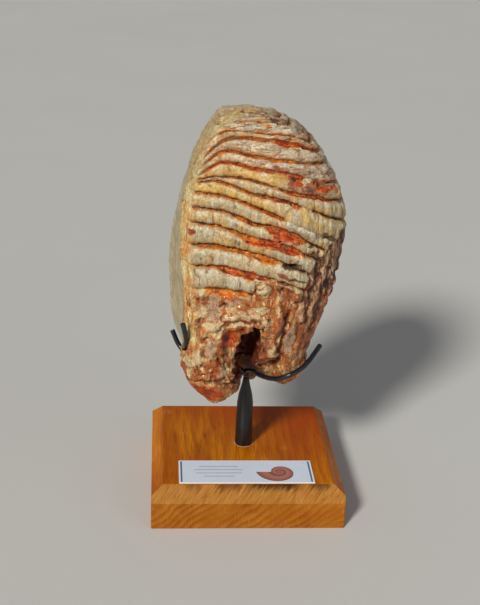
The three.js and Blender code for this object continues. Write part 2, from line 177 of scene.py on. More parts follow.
class Nodes:
    """Short ways to add nodes to one material or group."""

    def __init__(self, tree):
        self.tree = tree
        self.places = None

    def add(self, kind, inputs=None, **settings):
        node = self.tree.nodes.new(kind)
        for name, value in settings.items():
            setattr(node, name, value)
        for name, value in (inputs or {}).items():
            self.feed(node.inputs[name], value)
        return node

    def feed(self, socket, value):
        if isinstance(value, bpy.types.NodeSocket):
            self.tree.links.new(value, socket)
        else:
            socket.default_value = value

    def math(self, operation, *values):
        node = self.add("ShaderNodeMath", operation=operation)
        for socket, value in zip(node.inputs, values):
            self.feed(socket, value)
        return node.outputs[0]

    def vector_math(self, operation, *values):
        node = self.add("ShaderNodeVectorMath", operation=operation)
        for socket, value in zip(node.inputs, values):
            self.feed(socket, value)
        return node

    def mix(self, share, first, second, blend="MIX"):
        node = self.add("ShaderNodeMix", data_type="RGBA", blend_type=blend)
        self.feed(node.inputs[0], share)
        self.feed(node.inputs[6], linear(first) if isinstance(first, tuple) else first)
        self.feed(node.inputs[7], linear(second) if isinstance(second, tuple) else second)
        return node.outputs[2]

    def blend(self, share, first, second):
        """Between two values: the first where the share is 0, the second where it is 1."""
        values = {"Factor": share, "A": first, "B": second}
        return self.add("ShaderNodeMix", values, data_type="FLOAT").outputs[0]

    def between(self, value, low, high, start=0.0, end=1.0):
        """Start where the value is low, end where it is high, and a smooth rise between."""
        values = {"Value": value, "From Min": low, "From Max": high, "To Min": start, "To Max": end}
        return self.add("ShaderNodeMapRange", values, interpolation_type="SMOOTHSTEP").outputs[0]

    def point(self):
        """The place on the object, in mm."""
        if self.places is None:
            coordinates = self.add("ShaderNodeTexCoord")
            self.places = self.scaled(coordinates.outputs["Object"], (1 / MM,) * 3)
        return self.places

    def scaled(self, vector, factors):
        return self.vector_math("MULTIPLY", vector, factors).outputs[0]

    def noise(self, size, detail=2.0, roughness=0.5, warp=0.0, seed=0.0, vector=None):
        """Noise from 0 to 1. Size is one length or three, in mm."""
        sizes = size if isinstance(size, tuple) else (size,) * 3
        placed = self.scaled(vector or self.point(), tuple(1 / s for s in sizes))
        placed = self.vector_math("ADD", placed, (seed, seed, seed)).outputs[0]
        values = {"Vector": placed, "Scale": 1.0, "Detail": detail, "Roughness": roughness}
        return self.add("ShaderNodeTexNoise", {**values, "Distortion": warp}).outputs[0]

    def cracks(self, size):
        """How far the nearest edge of broken cells is, over their size in mm."""
        drift = self.add("ShaderNodeTexNoise", {"Vector": self.point(), "Scale": 0.4}).outputs[1]
        placed = self.vector_math("ADD", self.point(), self.scaled(drift, (3, 3, 3))).outputs[0]
        placed = self.scaled(placed, (1 / size,) * 3)
        cells = self.add("ShaderNodeTexVoronoi", {"Vector": placed, "Scale": 1.0}, feature="DISTANCE_TO_EDGE")
        return cells.outputs["Distance"]

    def flakes(self, sizes, seed=0.0):
        """Broken flakes, their three sizes in mm: a tone from 0 to 1 for each, and how its face slants."""
        values = {"Vector": self.point(), "Scale": 0.5, "Detail": 2.0}
        drift = self.scaled(self.add("ShaderNodeTexNoise", values).outputs[1], tuple(0.6 * s for s in sizes))
        placed = self.vector_math("ADD", self.point(), drift).outputs[0]
        placed = self.scaled(placed, tuple(1 / s for s in sizes))
        placed = self.vector_math("ADD", placed, (seed, seed, seed)).outputs[0]
        cells = self.add("ShaderNodeTexVoronoi", {"Vector": placed, "Scale": 1.0})
        away = self.vector_math("SUBTRACT", placed, cells.outputs["Position"]).outputs[0]
        slope = self.vector_math("SUBTRACT", cells.outputs["Color"], (0.5, 0.5, 0.5)).outputs[0]
        slant = self.vector_math("DOT_PRODUCT", away, slope).outputs["Value"]
        return self.axes(cells.outputs["Color"])[0], slant

    def attribute(self, name):
        return self.add("ShaderNodeAttribute", attribute_name=name).outputs["Fac"]

    def axes(self, vector):
        return self.add("ShaderNodeSeparateXYZ", {"Vector": vector}).outputs

    def bump(self, height, depth, normal=None):
        """Depth is how far the height's 1 stands above its 0, in mm."""
        node = self.add("ShaderNodeBump", {"Height": height, "Distance": depth * MM, "Strength": 1.0})
        if normal is not None:
            self.feed(node.inputs["Normal"], normal)
        return node.outputs[0]


def new_material(name):
    material = bpy.data.materials.new(name)
    material.use_nodes = True
    material.node_tree.nodes.clear()
    return material, Nodes(material.node_tree)


def finish_material(n, colour, roughness, normal, constants=None):
    surface = {"Base Color": colour, "Roughness": roughness, "Normal": normal}
    shader = n.add("ShaderNodeBsdfPrincipled", {**surface, **(constants or {})})
    output = n.add("ShaderNodeOutputMaterial")
    n.tree.links.new(shader.outputs[0], output.inputs["Surface"])


def make_piece(name, mesh, material, node=None, smooth=True):
    """An object of the scene that rides on the stand and wears one material."""
    piece = bpy.data.objects.new(name, mesh)
    bpy.context.scene.collection.objects.link(piece)
    mesh.materials.clear()
    mesh.materials.append(material)
    mesh.polygons.foreach_set("use_smooth", [smooth] * len(mesh.polygons))
    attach(piece, "root")
    if node:
        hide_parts(node)
    return piece


def mesh_from(shape, name):
    """A mesh in metres from a bmesh in mm."""
    bmesh.ops.recalc_face_normals(shape, faces=shape.faces)
    bmesh.ops.scale(shape, vec=(MM, MM, MM), verts=shape.verts)
    mesh = bpy.data.meshes.new(name)
    shape.to_mesh(mesh)
    shape.free()
    return mesh


# Handling marks, for every made surface

def handling_marks():
    """Fine scratches and finger smears: a mask of each, from a place in mm."""
    group = bpy.data.node_groups.new("handling_marks", "ShaderNodeTree")
    group.interface.new_socket("Place", in_out="INPUT", socket_type="NodeSocketVector")
    group.interface.new_socket("Scratch Size", in_out="INPUT", socket_type="NodeSocketFloat")
    group.interface.new_socket("Smears", in_out="OUTPUT", socket_type="NodeSocketFloat")
    group.interface.new_socket("Scratches", in_out="OUTPUT", socket_type="NodeSocketFloat")
    n = Nodes(group)
    given = n.add("NodeGroupInput").outputs
    place = n.vector_math("DIVIDE", given["Place"], given["Scratch Size"]).outputs[0]
    smears = n.between(n.noise(6, 4, 0.6, 0.6, vector=given["Place"]), 0.35, 0.7)
    first = n.noise((0.25, 5, 3), 1, 0.5, 0.4, vector=place)
    second = n.noise((5, 0.3, 3), 1, 0.5, 0.4, 3.0, vector=place)
    lines = n.math("MAXIMUM", n.between(first, 0.68, 0.72), n.between(second, 0.7, 0.74))
    broken = n.between(n.noise(4, 1, vector=given["Place"], seed=7.0), 0.5, 0.6)
    result = n.add("NodeGroupOutput")
    n.feed(result.inputs["Smears"], smears)
    n.feed(result.inputs["Scratches"], n.math("MULTIPLY", lines, broken))
    return group


MARKS = handling_marks()


def marks_on(n, scratch_size):
    group = n.add("ShaderNodeGroup", node_tree=MARKS)
    n.feed(group.inputs["Place"], n.point())
    n.feed(group.inputs["Scratch Size"], scratch_size)
    return group.outputs["Smears"], group.outputs["Scratches"]


# Plinth

RING_DIRECTION = (-0.63, 0.03, 0.777)
RING_SPACING = 4.2
RING_WANDER = 12.0
SAW_DIRECTION = (0.77, 0.0, -0.64)
# Burnt places under the front's upper edge: where each is across, how far it reaches each way, how strong
BURNS = [(-34, 6, 0.5), (-12, 10, 0.7), (16, 20, 1.0), (44, 8, 0.8)]
BURN_HEIGHTS = (22.5, 27.0)
BURN_JAGS = 9.0
# Pale scuffs on the top: place across, place back, radius
SCUFFS = [(26, -8, 3.2), (-50, 44, 5.5), (-40, 12, 2.2), (-18, 14, 2.2)]
# The pale ring round the post's foot: full this far out from the post, gone by this far, in mm
PALE_RING_EDGE = (0.2, 1.1)
# The wood's colours, in screen values; the red one is a painted shadow of the tooth on the top
WOOD = {
    "light": (206, 122, 4), "middle": (178, 94, 2), "ring": (136, 62, 4), "fibre": (126, 58, 4),
    "streak": (88, 38, 8), "red": (158, 56, 2), "end": (176, 106, 28), "dull end": (158, 88, 16),
    "end ring": (116, 54, 8), "pore": (124, 62, 16), "ray": (194, 134, 62), "raw": (182, 130, 62),
    "dark raw": (152, 94, 34), "charred": (48, 24, 18), "scuffed": (214, 170, 120), "pale ring": (206, 190, 166),
}


def late_wood(n, place):
    """The dark part of each year's ring, from 0 to 1."""
    wander = n.math("MULTIPLY", n.math("SUBTRACT", n.noise((26, 90, 26), 2, 0.5), 0.5), RING_WANDER)
    along = n.vector_math("DOT_PRODUCT", place, RING_DIRECTION).outputs["Value"]
    turn = n.math("FRACT", n.math("DIVIDE", n.math("ADD", along, wander), RING_SPACING))
    late = n.math("MULTIPLY", n.between(turn, 0.15, 0.85), n.between(turn, 0.88, 1.0, 1.0, 0.0))
    strength = n.between(n.noise((20, 50, 20), 1, 0.5, seed=4.0), 0.3, 0.65, 0.25, 1.0)
    return n.math("MULTIPLY", late, strength)


def long_grain(n, late, tone, fibres):
    """The wood cut along its grain: honey brown, with fibres and dark streaks."""
    colour = n.mix(n.between(tone, 0.35, 0.65), WOOD["light"], WOOD["middle"])
    colour = n.mix(n.math("MULTIPLY", late, 0.42), colour, WOOD["ring"])
    colour = n.mix(n.between(fibres, 0.42, 0.7, 0.0, 0.6), colour, WOOD["fibre"])
    streaks = n.noise((1.1, 26, 1.1), 2, 0.5, 0.5, 5.0)
    return n.mix(n.between(streaks, 0.62, 0.74, 0.0, 0.65), colour, WOOD["streak"])


def end_grain(n, late, tone, rays):
    """The wood cut across its grain: duller, with pores and pale rays."""
    pores = n.noise((0.55, 3, 0.55), 1, 0.5, seed=2.0)
    colour = n.mix(n.between(tone, 0.3, 0.7), WOOD["end"], WOOD["dull end"])
    colour = n.mix(n.math("MULTIPLY", late, 0.6), colour, WOOD["end ring"])
    colour = n.mix(n.between(pores, 0.55, 0.75, 0.0, 0.55), colour, WOOD["pore"])
    return n.mix(n.math("MULTIPLY", rays, 0.45), colour, WOOD["ray"])


def burn_mask(n, chamfer, saw):
    """The burnt places under the front's upper edge, jagged along the saw marks."""
    x, y, z = n.axes(n.point())
    burn = 0.0
    for across, reach, amount in BURNS:
        away = n.math("ABSOLUTE", n.math("SUBTRACT", x, float(across)))
        burn = n.math("MAXIMUM", burn, n.between(away, reach * 0.5, reach * 1.1, amount, 0.0))
    jagged = n.math("ADD", z, n.math("MULTIPLY", n.math("SUBTRACT", saw, 0.5), BURN_JAGS))
    burn = n.math("MULTIPLY", burn, n.between(jagged, *BURN_HEIGHTS))
    return n.math("MULTIPLY", burn, n.math("MULTIPLY", chamfer, n.math("LESS_THAN", y, 0.0)))


def scuff_mask(n, place):
    """Pale scratches inside the scuffed places on the top."""
    scuff = 0.0
    for across, back, radius in SCUFFS:
        gap = n.vector_math("SUBTRACT", place, (float(across), float(back), PLINTH_HEIGHT))
        away = n.vector_math("LENGTH", gap.outputs[0]).outputs["Value"]
        scuff = n.math("MAXIMUM", scuff, n.between(away, radius * 0.3, radius, 1.0, 0.0))
    scratched = n.noise((1.6, 0.5, 1), 3, 0.7, 1.0, 8.0)
    return n.math("MULTIPLY", scuff, n.between(scratched, 0.52, 0.62))


def pale_ring_mask(n, place, top):
    """A broken pale ring round the foot of the post."""
    from_axis = n.vector_math("LENGTH", n.scaled(place, (1, 1, 0))).outputs["Value"]
    gap = n.math("SUBTRACT", from_axis, POST_OUTLINE[0][0])
    ring = n.between(gap, *PALE_RING_EDGE, 1.0, 0.0)
    return n.math("MULTIPLY", n.math("MULTIPLY", ring, n.between(n.noise(2.5, 2), 0.4, 0.6)), top)


def wood_material():
    """Varnished wood, with raw sawn chamfers at the ends of its grain."""
    material, n = new_material("varnished_wood")
    place = n.point()
    x, y, z = n.axes(place)
    facing = n.axes(n.add("ShaderNodeNewGeometry").outputs["Normal"])
    ends = n.between(n.math("ABSOLUTE", facing[1]), 0.45, 0.6)
    chamfer = n.math("MULTIPLY", ends, n.between(facing[2], 0.25, 0.4))
    top = n.between(facing[2], 0.75, 0.9)

    late = late_wood(n, place)
    tone = n.noise((14, 70, 14), 2, 0.5, seed=9.0)
    fibres = n.noise((0.45, 16, 0.45), 3, 0.6, 0.2)
    rays = n.math("MAXIMUM", n.between(n.noise((0.35, 4, 9), 1, 0.5, 0.3), 0.6, 0.68),
                  n.between(n.noise((9, 4, 0.35), 1, 0.5, 0.3, 6.0), 0.62, 0.7))
    colour = long_grain(n, late, tone, fibres)
    # Painted shadow of the tooth on the top: darker and redder towards the back right
    painted_shadow = n.between(n.math("ADD", n.math("MULTIPLY", x, 0.8), y), -28, 70, 0.0, 0.75)
    colour = n.mix(n.math("MULTIPLY", painted_shadow, top), colour, WOOD["red"])
    colour = n.mix(ends, colour, end_grain(n, late, tone, rays))

    leaning = n.vector_math("DOT_PRODUCT", place, SAW_DIRECTION).outputs["Value"]
    saw_place = n.add("ShaderNodeCombineXYZ", {"X": leaning, "Y": 0.0, "Z": n.math("ADD", x, z)}).outputs[0]
    saw = n.noise((0.5, 1, 14), 2, 0.6, 0.2, vector=saw_place)
    raw = n.mix(n.between(saw, 0.35, 0.65), WOOD["raw"], WOOD["dark raw"])
    colour = n.mix(n.math("MULTIPLY", chamfer, 0.8), colour, raw)

    burn = burn_mask(n, chamfer, saw)
    scuff = scuff_mask(n, place)
    colour = n.mix(n.math("MULTIPLY", burn, 0.9), colour, WOOD["charred"])
    colour = n.mix(n.math("MULTIPLY", scuff, 0.6), colour, WOOD["scuffed"])
    colour = n.mix(n.math("MULTIPLY", pale_ring_mask(n, place, top), 0.7), colour, WOOD["pale ring"])

    smears, scratches = marks_on(n, 1.5)
    roughness = n.math("ADD", n.between(smears, 0.0, 1.0, 0.3, 0.42), n.math("MULTIPLY", chamfer, 0.2))
    roughness = n.math("ADD", roughness, n.math("MULTIPLY", n.math("MAXIMUM", scuff, burn), 0.3))
    relief = n.math("SUBTRACT", n.math("MULTIPLY", saw, chamfer), n.math("MULTIPLY", scratches, 0.4))
    relief = n.math("SUBTRACT", relief, n.between(fibres, 0.5, 0.8, 0.0, 0.5))
    relief = n.math("SUBTRACT", relief, n.math("MULTIPLY", rays, ends))
    coat = n.between(n.math("MAXIMUM", chamfer, scuff), 0.0, 1.0, 0.06, 0.0)
    varnish = {"Coat Weight": coat, "Coat Roughness": 0.22, "Specular IOR Level": 0.08}
    finish_material(n, colour, roughness, n.bump(relief, 0.09), varnish)
    return material


def plinth_block():
    """A square block with a chamfer along each upper edge and every edge eased."""
    shape = bmesh.new()
    bmesh.ops.create_cube(shape, size=1.0)
    bmesh.ops.scale(shape, vec=(PLINTH_SIDE, PLINTH_SIDE, PLINTH_HEIGHT), verts=shape.verts)
    bmesh.ops.translate(shape, vec=(0, 0, PLINTH_HEIGHT / 2), verts=shape.verts)
    upright = [e for e in shape.edges if abs(e.verts[0].co.z - e.verts[1].co.z) > 1]
    bmesh.ops.bevel(shape, geom=upright, offset=CORNER_ROUND, offset_type="OFFSET", affect="EDGES",
                    segments=4, profile=0.5, material=-1)
    for turn, drop in enumerate((END_CHAMFER_DROP, SIDE_CHAMFER_DROP) * 2):
        quarter = Matrix.Rotation(math.pi / 2 * turn, 3, "Z")
        edge = quarter @ Vector((0, -PLINTH_SIDE / 2, PLINTH_HEIGHT - drop))
        outward = quarter @ Vector((0, -drop, CHAMFER_INSET))
        whole = shape.verts[:] + shape.edges[:] + shape.faces[:]
        cut = bmesh.ops.bisect_plane(shape, geom=whole, plane_co=edge, plane_no=outward, clear_outer=True)
        open_edges = [e for e in cut["geom_cut"] if isinstance(e, bmesh.types.BMEdge)]
        bmesh.ops.edgeloop_fill(shape, edges=open_edges)
    bmesh.ops.recalc_face_normals(shape, faces=shape.faces)
    sharp = [e for e in shape.edges if len(e.link_faces) == 2 and e.calc_face_angle() > math.radians(25)]
    bmesh.ops.bevel(shape, geom=sharp, offset=EDGE_ROUND, offset_type="OFFSET", affect="EDGES",
                    segments=3, profile=0.5, material=-1, clamp_overlap=True)
    return shape


def make_plinth():
    mesh = mesh_from(plinth_block(), "plinth_block")
    make_piece("plinth_block", mesh, wood_material(), "plinth", smooth=False)


# Label

LABEL_CENTRE = (-1.0, -38.8)
LABEL_SIZE = (84.0, 27.5)
BAR_INSET = 1.6
BAR_WIDTH = 1.1
SHELL_CENTRE = (20.0, -39.2)
SHELL_RADIUS = 8.6
SHELL_GROWTH = 0.17
SHELL_RIBS = 26.0
# Ruled lines: place across of each one's middle, place back, half length
RULES = [(-18, -32.6, 12.5), (-18, -36.6, 15.5), (-18, -40.6, 14.5), (-18, -44.6, 9.5)]
# The label's colours, in screen values
CARD = {
    "paper": (220, 230, 244), "paper shade": (210, 220, 234), "margin": (236, 240, 246),
    "bar": (58, 70, 98), "rule": (92, 98, 118), "whorl edge": (96, 48, 62), "whorl": (188, 104, 66),
    "rib": (110, 50, 52),
}


def coiled_shell(n, x, y):
    """A generic coiled shell in print: where it is, and its colour."""
    dx = n.math("SUBTRACT", x, SHELL_CENTRE[0])
    dy = n.math("SUBTRACT", y, SHELL_CENTRE[1])
    gap = n.add("ShaderNodeCombineXYZ", {"X": dx, "Y": dy, "Z": 0.0}).outputs[0]
    radius = n.vector_math("LENGTH", gap).outputs["Value"]
    turned = n.math("DIVIDE", n.math("ARCTAN2", dy, dx), 2 * math.pi)
    grown = n.math("LOGARITHM", n.math("DIVIDE", radius, SHELL_RADIUS), math.e)
    coil = n.math("ADD", n.math("DIVIDE", grown, 2 * math.pi * SHELL_GROWTH), turned)
    across_whorl = n.math("FRACT", coil)
    shade = n.math("MULTIPLY", n.between(across_whorl, 0.05, 0.5),
                   n.between(across_whorl, 0.6, 1.0, 1.0, 0.3))
    ribs = n.math("FRACT", n.math("MULTIPLY", turned, SHELL_RIBS))
    colour = n.mix(shade, CARD["whorl edge"], CARD["whorl"])
    colour = n.mix(n.between(ribs, 0.7, 0.9, 0.0, 0.5), colour, CARD["rib"])
    return n.math("LESS_THAN", coil, 0.0), colour


def card_material():
    """Pale card with a bar near each end, a coiled shell and some ruled lines."""
    material, n = new_material("printed_card")
    x, y = n.axes(n.point())[:2]
    half_length, half_width = (size / 2 for size in LABEL_SIZE)
    paper = n.mix(n.noise(5, 3), CARD["paper"], CARD["paper shade"])
    ends = n.math("ABSOLUTE", n.math("SUBTRACT", x, LABEL_CENTRE[0]))
    sides = n.math("ABSOLUTE", n.math("SUBTRACT", y, LABEL_CENTRE[1]))
    margin = n.math("MAXIMUM", n.between(ends, half_length - 0.9, half_length - 0.5),
                    n.between(sides, half_width - 0.9, half_width - 0.5))
    colour = n.mix(margin, paper, CARD["margin"])

    from_bar = n.math("ABSOLUTE", n.math("SUBTRACT", ends, half_length - BAR_INSET))
    bar = n.math("MULTIPLY", n.between(from_bar, BAR_WIDTH * 0.4, BAR_WIDTH * 0.6, 1.0, 0.0),
                 n.between(sides, half_width - 1.3, half_width - 1.0, 1.0, 0.0))
    colour = n.mix(n.math("MULTIPLY", bar, 0.9), colour, CARD["bar"])

    for across, back, half in RULES:
        gap = n.math("ABSOLUTE", n.math("SUBTRACT", y, float(back)))
        along = n.math("ABSOLUTE", n.math("SUBTRACT", x, float(across)))
        rule = n.math("MULTIPLY", n.between(gap, 0.2, 0.4, 1.0, 0.0),
                      n.between(along, half - 0.2, half, 1.0, 0.0))
        colour = n.mix(n.math("MULTIPLY", rule, 0.75), colour, CARD["rule"])

    outline, shell = coiled_shell(n, x, y)
    colour = n.mix(n.math("MULTIPLY", outline, 0.95), colour, shell)

    smears, scratches = marks_on(n, 1.0)
    roughness = n.between(smears, 0.0, 1.0, 0.28, 0.4)
    normal = n.bump(n.math("SUBTRACT", n.noise(9, 1), n.math("MULTIPLY", scratches, 0.1)), 0.05)
    finish_material(n, colour, roughness, normal, {"Coat Weight": 0.25, "Coat Roughness": 0.2})
    return material


def dress_label():
    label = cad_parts["label"]
    label.data.materials.clear()
    label.data.materials.append(card_material())


# Post and cradle

BARE_STEEL = (120, 116, 112)
# How much rougher the paint is where it is smeared
SMEAR_ROUGHNESS = 0.14
WELD_RADIUS = 2.6
WELD_LUMPS = 0.12


def paint_material(name, dark, light, smoothest, chip_size):
    """Black paint over steel, with smears, fine dust and a few worn specks."""
    material, n = new_material(name)
    smears, scratches = marks_on(n, 1.0)
    colour = n.mix(smears, dark, light)
    specks = n.between(n.noise(chip_size, 3, 0.7, 0.5), 0.7, 0.76)
    colour = n.mix(n.math("MULTIPLY", specks, 0.6), colour, BARE_STEEL)
    roughness = n.between(smears, 0.0, 1.0, smoothest, smoothest + SMEAR_ROUGHNESS)
    roughness = n.math("ADD", roughness, n.math("MULTIPLY", specks, 0.2))
    grain = n.noise(0.9, 3, 0.6)
    relief = n.math("SUBTRACT", grain, n.math("ADD", specks, n.math("MULTIPLY", scratches, 0.5)))
    finish_material(n, colour, roughness, n.bump(relief, 0.04), {"Coat Weight": 0.05, "Coat Roughness": 0.25})
    return material


def make_post():
    """The turned post, with an eased foot and a flat tip."""
    shape = bmesh.new()
    outline = [(0.0, POST_OUTLINE[0][1])] + [tuple(p) for p in POST_OUTLINE] + [(0.0, POST_OUTLINE[-1][1])]
    points = [shape.verts.new((radius, 0, height)) for radius, height in outline]
    edges = [shape.edges.new(pair) for pair in zip(points, points[1:])]
    bmesh.ops.spin(shape, geom=points + edges, cent=(0, 0, 0), axis=(0, 0, 1), angle=2 * math.pi,
                   steps=POST_STEPS, use_merge=True)
    bmesh.ops.remove_doubles(shape, verts=shape.verts, dist=0.001)
    bmesh.ops.recalc_face_normals(shape, faces=shape.faces)
    rims = [e for e in shape.edges if len(e.link_faces) == 2 and e.calc_face_angle() > math.radians(40)]
    bmesh.ops.bevel(shape, geom=rims, offset=0.3, offset_type="OFFSET", affect="EDGES",
                    segments=3, profile=0.5, material=-1)
    mesh = mesh_from(shape, "post_turning")
    paint = paint_material("black_metal", (10, 11, 11), (20, 21, 20), smoothest=0.36, chip_size=2.2)
    make_piece("post_turning", mesh, paint, "post")


def wire_mesh(points, name):
    """A round wire along a smooth path, its ends capped."""
    curve = bpy.data.curves.new(name, "CURVE")
    curve.dimensions = "3D"
    curve.bevel_depth = WIRE_RADIUS
    curve.bevel_resolution = 6
    curve.use_fill_caps = True
    spline = curve.splines.new("BEZIER")
    spline.bezier_points.add(len(points) - 1)
    spline.resolution_u = 10
    for end, place in zip(spline.bezier_points, points):
        end.co = place
        end.handle_left_type = "AUTO"
        end.handle_right_type = "AUTO"
    holder = bpy.data.objects.new(name, curve)
    bpy.context.scene.collection.objects.link(holder)
    bpy.context.view_layer.update()
    mesh = bpy.data.meshes.new_from_object(holder.evaluated_get(bpy.context.evaluated_depsgraph_get()))
    bpy.data.objects.remove(holder)
    return mesh


def make_cradle():
    """Three wires, a hub, and the weld that joins them, fused into one mesh."""
    shape = bmesh.new()
    for name, points in WIRES.items():
        shape.from_mesh(wire_mesh(points, name))
    bmesh.ops.remove_doubles(shape, verts=shape.verts, dist=0.001)
    bmesh.ops.recalc_face_normals(shape, faces=shape.faces)
    ends = [e for e in shape.edges if len(e.link_faces) == 2 and e.calc_face_angle() > math.radians(60)]
    bmesh.ops.bevel(shape, geom=ends, offset=0.25, offset_type="OFFSET", affect="EDGES",
                    segments=2, profile=0.5, material=-1)
    middle = Matrix.Translation((0, 0, (HUB_FOOT + HUB_TOP) / 2))
    bmesh.ops.create_cone(shape, cap_ends=True, segments=32, radius1=HUB_RADIUS, radius2=HUB_RADIUS,
                          depth=HUB_TOP - HUB_FOOT, matrix=middle)
    top = Vector((0, 0, HUB_TOP))
    weld = bmesh.ops.create_icosphere(shape, subdivisions=4, radius=WELD_RADIUS,
                                      matrix=Matrix.Translation(top))
    for vert in weld["verts"]:
        vert.co += (vert.co - top) * WELD_LUMPS * noise.noise(vert.co * 0.9)
    mesh = mesh_from(shape, "cradle_wires")
    paint = paint_material("black_wire", (17, 19, 24), (28, 31, 38), smoothest=0.2, chip_size=1.3)
    make_piece("cradle_wires", mesh, paint, "cradle")


# Tooth

# Stains that follow a groove: [groove, from x, to x, added half width, redness]
GROOVE_STAINS = [
    [1, -20, 14, 0.0, 0.25], [2, -8, 22, 0.2, 0.4], [3, -30, 30, 0.1, 0.3], [4, -12, 20, 0.5, 0.5],
    [4, 8, 44, 0.8, 0.9], [5, -30, 20, 0.3, 0.7], [6, -32, 12, 0.3, 0.8], [6, 10, 26, 1.5, 1.0],
    [7, 14, 40, 0.9, 0.8], [8, -30, 12, 0.4, 0.3], [8, 8, 30, 0.7, 0.9], [9, -34, -12, 0.2, 0.3],
    [9, -12, 18, 0.6, 0.7], [10, -30, -14, 0.1, 0.2], [10, -15, 2, 0.6, 0.7], [10, 4, 27, 2.2, 1.0],
    [11, -30, -8, 0.4, 0.5], [11, -9, 23, 2.2, 0.9], [12, -34, 2, 0.9, 0.3], [12, 0, 11, 1.7, 0.4],
    [13, -22, 0, 1.7, 0.8], [14, -31, -5, 1.5, 0.6],
]
GROOVE_HALF_WIDTH = 0.24
GROOVE_DEPTH = 1.8
PLATE_SWELL = 1.1
# The usual distance between plates, and how deep the finest relief looks
PLATE_PITCH = 10.0
SKIN_RELIEF = 0.7
# Blocks that a zone is broken into: size across, back and up, then how far they rise, part and lean
BLOCKS = [
    ["plates", (4.4, 4.4, 60), 0.9, 0.55, 0.8], ["crown", (15, 15, 4.4), 0.2, 0.5, 1.6],
    ["side", (3.4, 3.4, 30), 0.4, 0.9, 1.8], ["side", (8, 8, 26), 0.2, 0.4, 3.4],
    ["brow", (16, 16, 6), 0.2, 0.5, 4.6], ["brow", (8, 8, 2.8), 0.2, 0.3, 1.0],
    ["roots", (8, 8, 24), 0.2, 0.8, 5.5], ["roots", (4, 4, 10), 0.2, 0.3, 0.9],
    ["lobe", (9, 9, 12), 0.4, 0.9, 5.2], ["lobe", (4.6, 4.6, 6), 0.2, 0.3, 1.0],
]
# How ochre each plate is, from the crown down; 0 is the pale enamel
OCHRE = [0.25, 0.1, 0.05, 0.35, 0.15, 0.1, 0.8, 0.2, 0.85, 0.1, 0.1, 0.05, 0.0, 0.0, 0.1]
# Stretches where a groove is filled up: [groove, from x, to x]
CLOSED = [[6, 25, 38], [8, 24, 30], [9, 15, 60], [14, 0, 60]]
# Patches on the front, by kind: [x, z, half width, half height, slope]
PATCHES = {
    "ochre": [
        [9, 216.5, 6.5, 3.4, 0.0], [26, 195, 4.5, 4.5, -0.3], [-23, 108, 2.2, 2.2, 0.0],
        [44, 207.5, 3.5, 3, -0.4],
    ],
    "red": [
        [32, 212, 5.4, 2.6, -0.3], [40, 208.8, 4.4, 2.4, -0.2], [22.5, 214.5, 2.2, 2.1, 0.0],
        [14, 184.5, 12, 3.0, -0.38], [8, 180.5, 6, 2.4, -0.3], [19, 175, 5.5, 2.8, -0.2],
        [-4, 162, 3.5, 2.2, -0.2], [-13, 162.7, 5, 1.6, -0.1], [3, 158.3, 4, 1.5, -0.2],
        [-14.5, 117, 4.6, 6.5, 0.0], [-38, 185, 1.9, 2.0, 0.0],
    ],
    "foot": [[-26.5, 81.5, 13.5, 8.6, -0.15]],
    "plum": [
        [18, 216, 4.4, 4.6, -0.4], [9, 222.2, 7.5, 2.6, -0.15], [33, 210.8, 12.5, 4.6, -0.22],
        [16, 155, 4.8, 2.3, -0.35], [31, 154, 2.2, 7, 0.0], [27, 144, 2.6, 3.0, 0.0], [16, 160, 7, 1.6, -0.3],
    ],
    "orange": [
        [-12, 245, 4, 0.9, 0.1], [4, 243.5, 4, 0.9, -0.1], [24, 238, 5, 1.0, -0.3],
        [-4.5, 183, 4.8, 2.0, -0.15],
        [45, 210, 1.8, 6, 0.0], [36, 214, 2, 1.4, 0.0], [27, 173, 2.5, 1.8, 0.0], [9, 156.8, 2.6, 1.5, -0.2],
        [-18.5, 147.3, 11.5, 3.0, -0.1], [-6, 118.5, 1.4, 2.4, 0.0], [-25.5, 95, 1.2, 1.6, 0.0],
        [-18, 137, 2, 2.4, 0.0], [16, 141, 2.5, 1.0, 0.0], [-30, 124, 2, 2, 0.0],
    ],
    "rust": [[7, 114, 3.2, 9, 0.2], [15, 127, 3.5, 9, 0.0], [29, 120, 2.0, 13, 0.0], [-14, 100, 1.6, 7, 0.0]],
    "mauve": [
        [-25.5, 138, 3.8, 8.5, 0.5], [15.5, 147, 1.5, 5, -1.0], [-12, 142.3, 5, 1.5, -0.1],
        [27, 136, 1.2, 5, 0.0], [-25, 112, 3.2, 5.5, 0.0], [30, 163.5, 1.5, 3, 0.0],
        [22.8, 116, 3.6, 12, 0.0], [-17, 97, 2.6, 5, 0.0],
    ],
    "cream": [
        [4.8, 150.8, 4.4, 4.0, 0.0], [-31.5, 135, 2.2, 6.5, 0.3], [-33, 148, 2.4, 3.6, 0.0],
        [-25, 126, 4.2, 2.4, -0.1], [-9, 127.8, 8.5, 1.5, 0.12], [-14, 139, 3.6, 2.2, 0.0],
        [-5, 133.5, 3.6, 1.8, 0.2], [4, 138.5, 6, 1.6, 0.0], [25, 152.5, 3.6, 3.2, 0.5],
        [13, 105.5, 3.2, 2.8, 0.0], [-33, 111, 2.2, 2.2, 0.0], [-32, 103, 2.8, 2.8, 0.0],
        [43, 188, 3.2, 3.8, 0.0], [-34, 105.5, 4.4, 6.0, 0.0], [-39.5, 99, 2.6, 7, 0.0],
        [-15, 97, 2.4, 4.5, 0.3],
    ],
    # Dark patches: stains, and painted shade in the dents and fold cuts
    "dark": [
        [21, 165.5, 8.5, 2.4, -0.12], [24, 157.5, 6, 1.2, -0.3], [40, 181.5, 7, 1.5, -0.45],
        [34, 177, 7, 1.2, -0.3], [38, 184.5, 2.5, 1.0, -0.2], [32, 171, 4, 1.8, -0.5],
        [2, 247.5, 4, 1.0, 0.0], [-9, 249.5, 3, 1.2, 0.1], [8, 245, 3, 1.2, -0.1], [-19, 92.5, 5, 1.3, 0.0],
        [-35, 98, 1.4, 1.6, 0.0], [8, 132, 1.6, 1.4, 0.0],
    ],
}
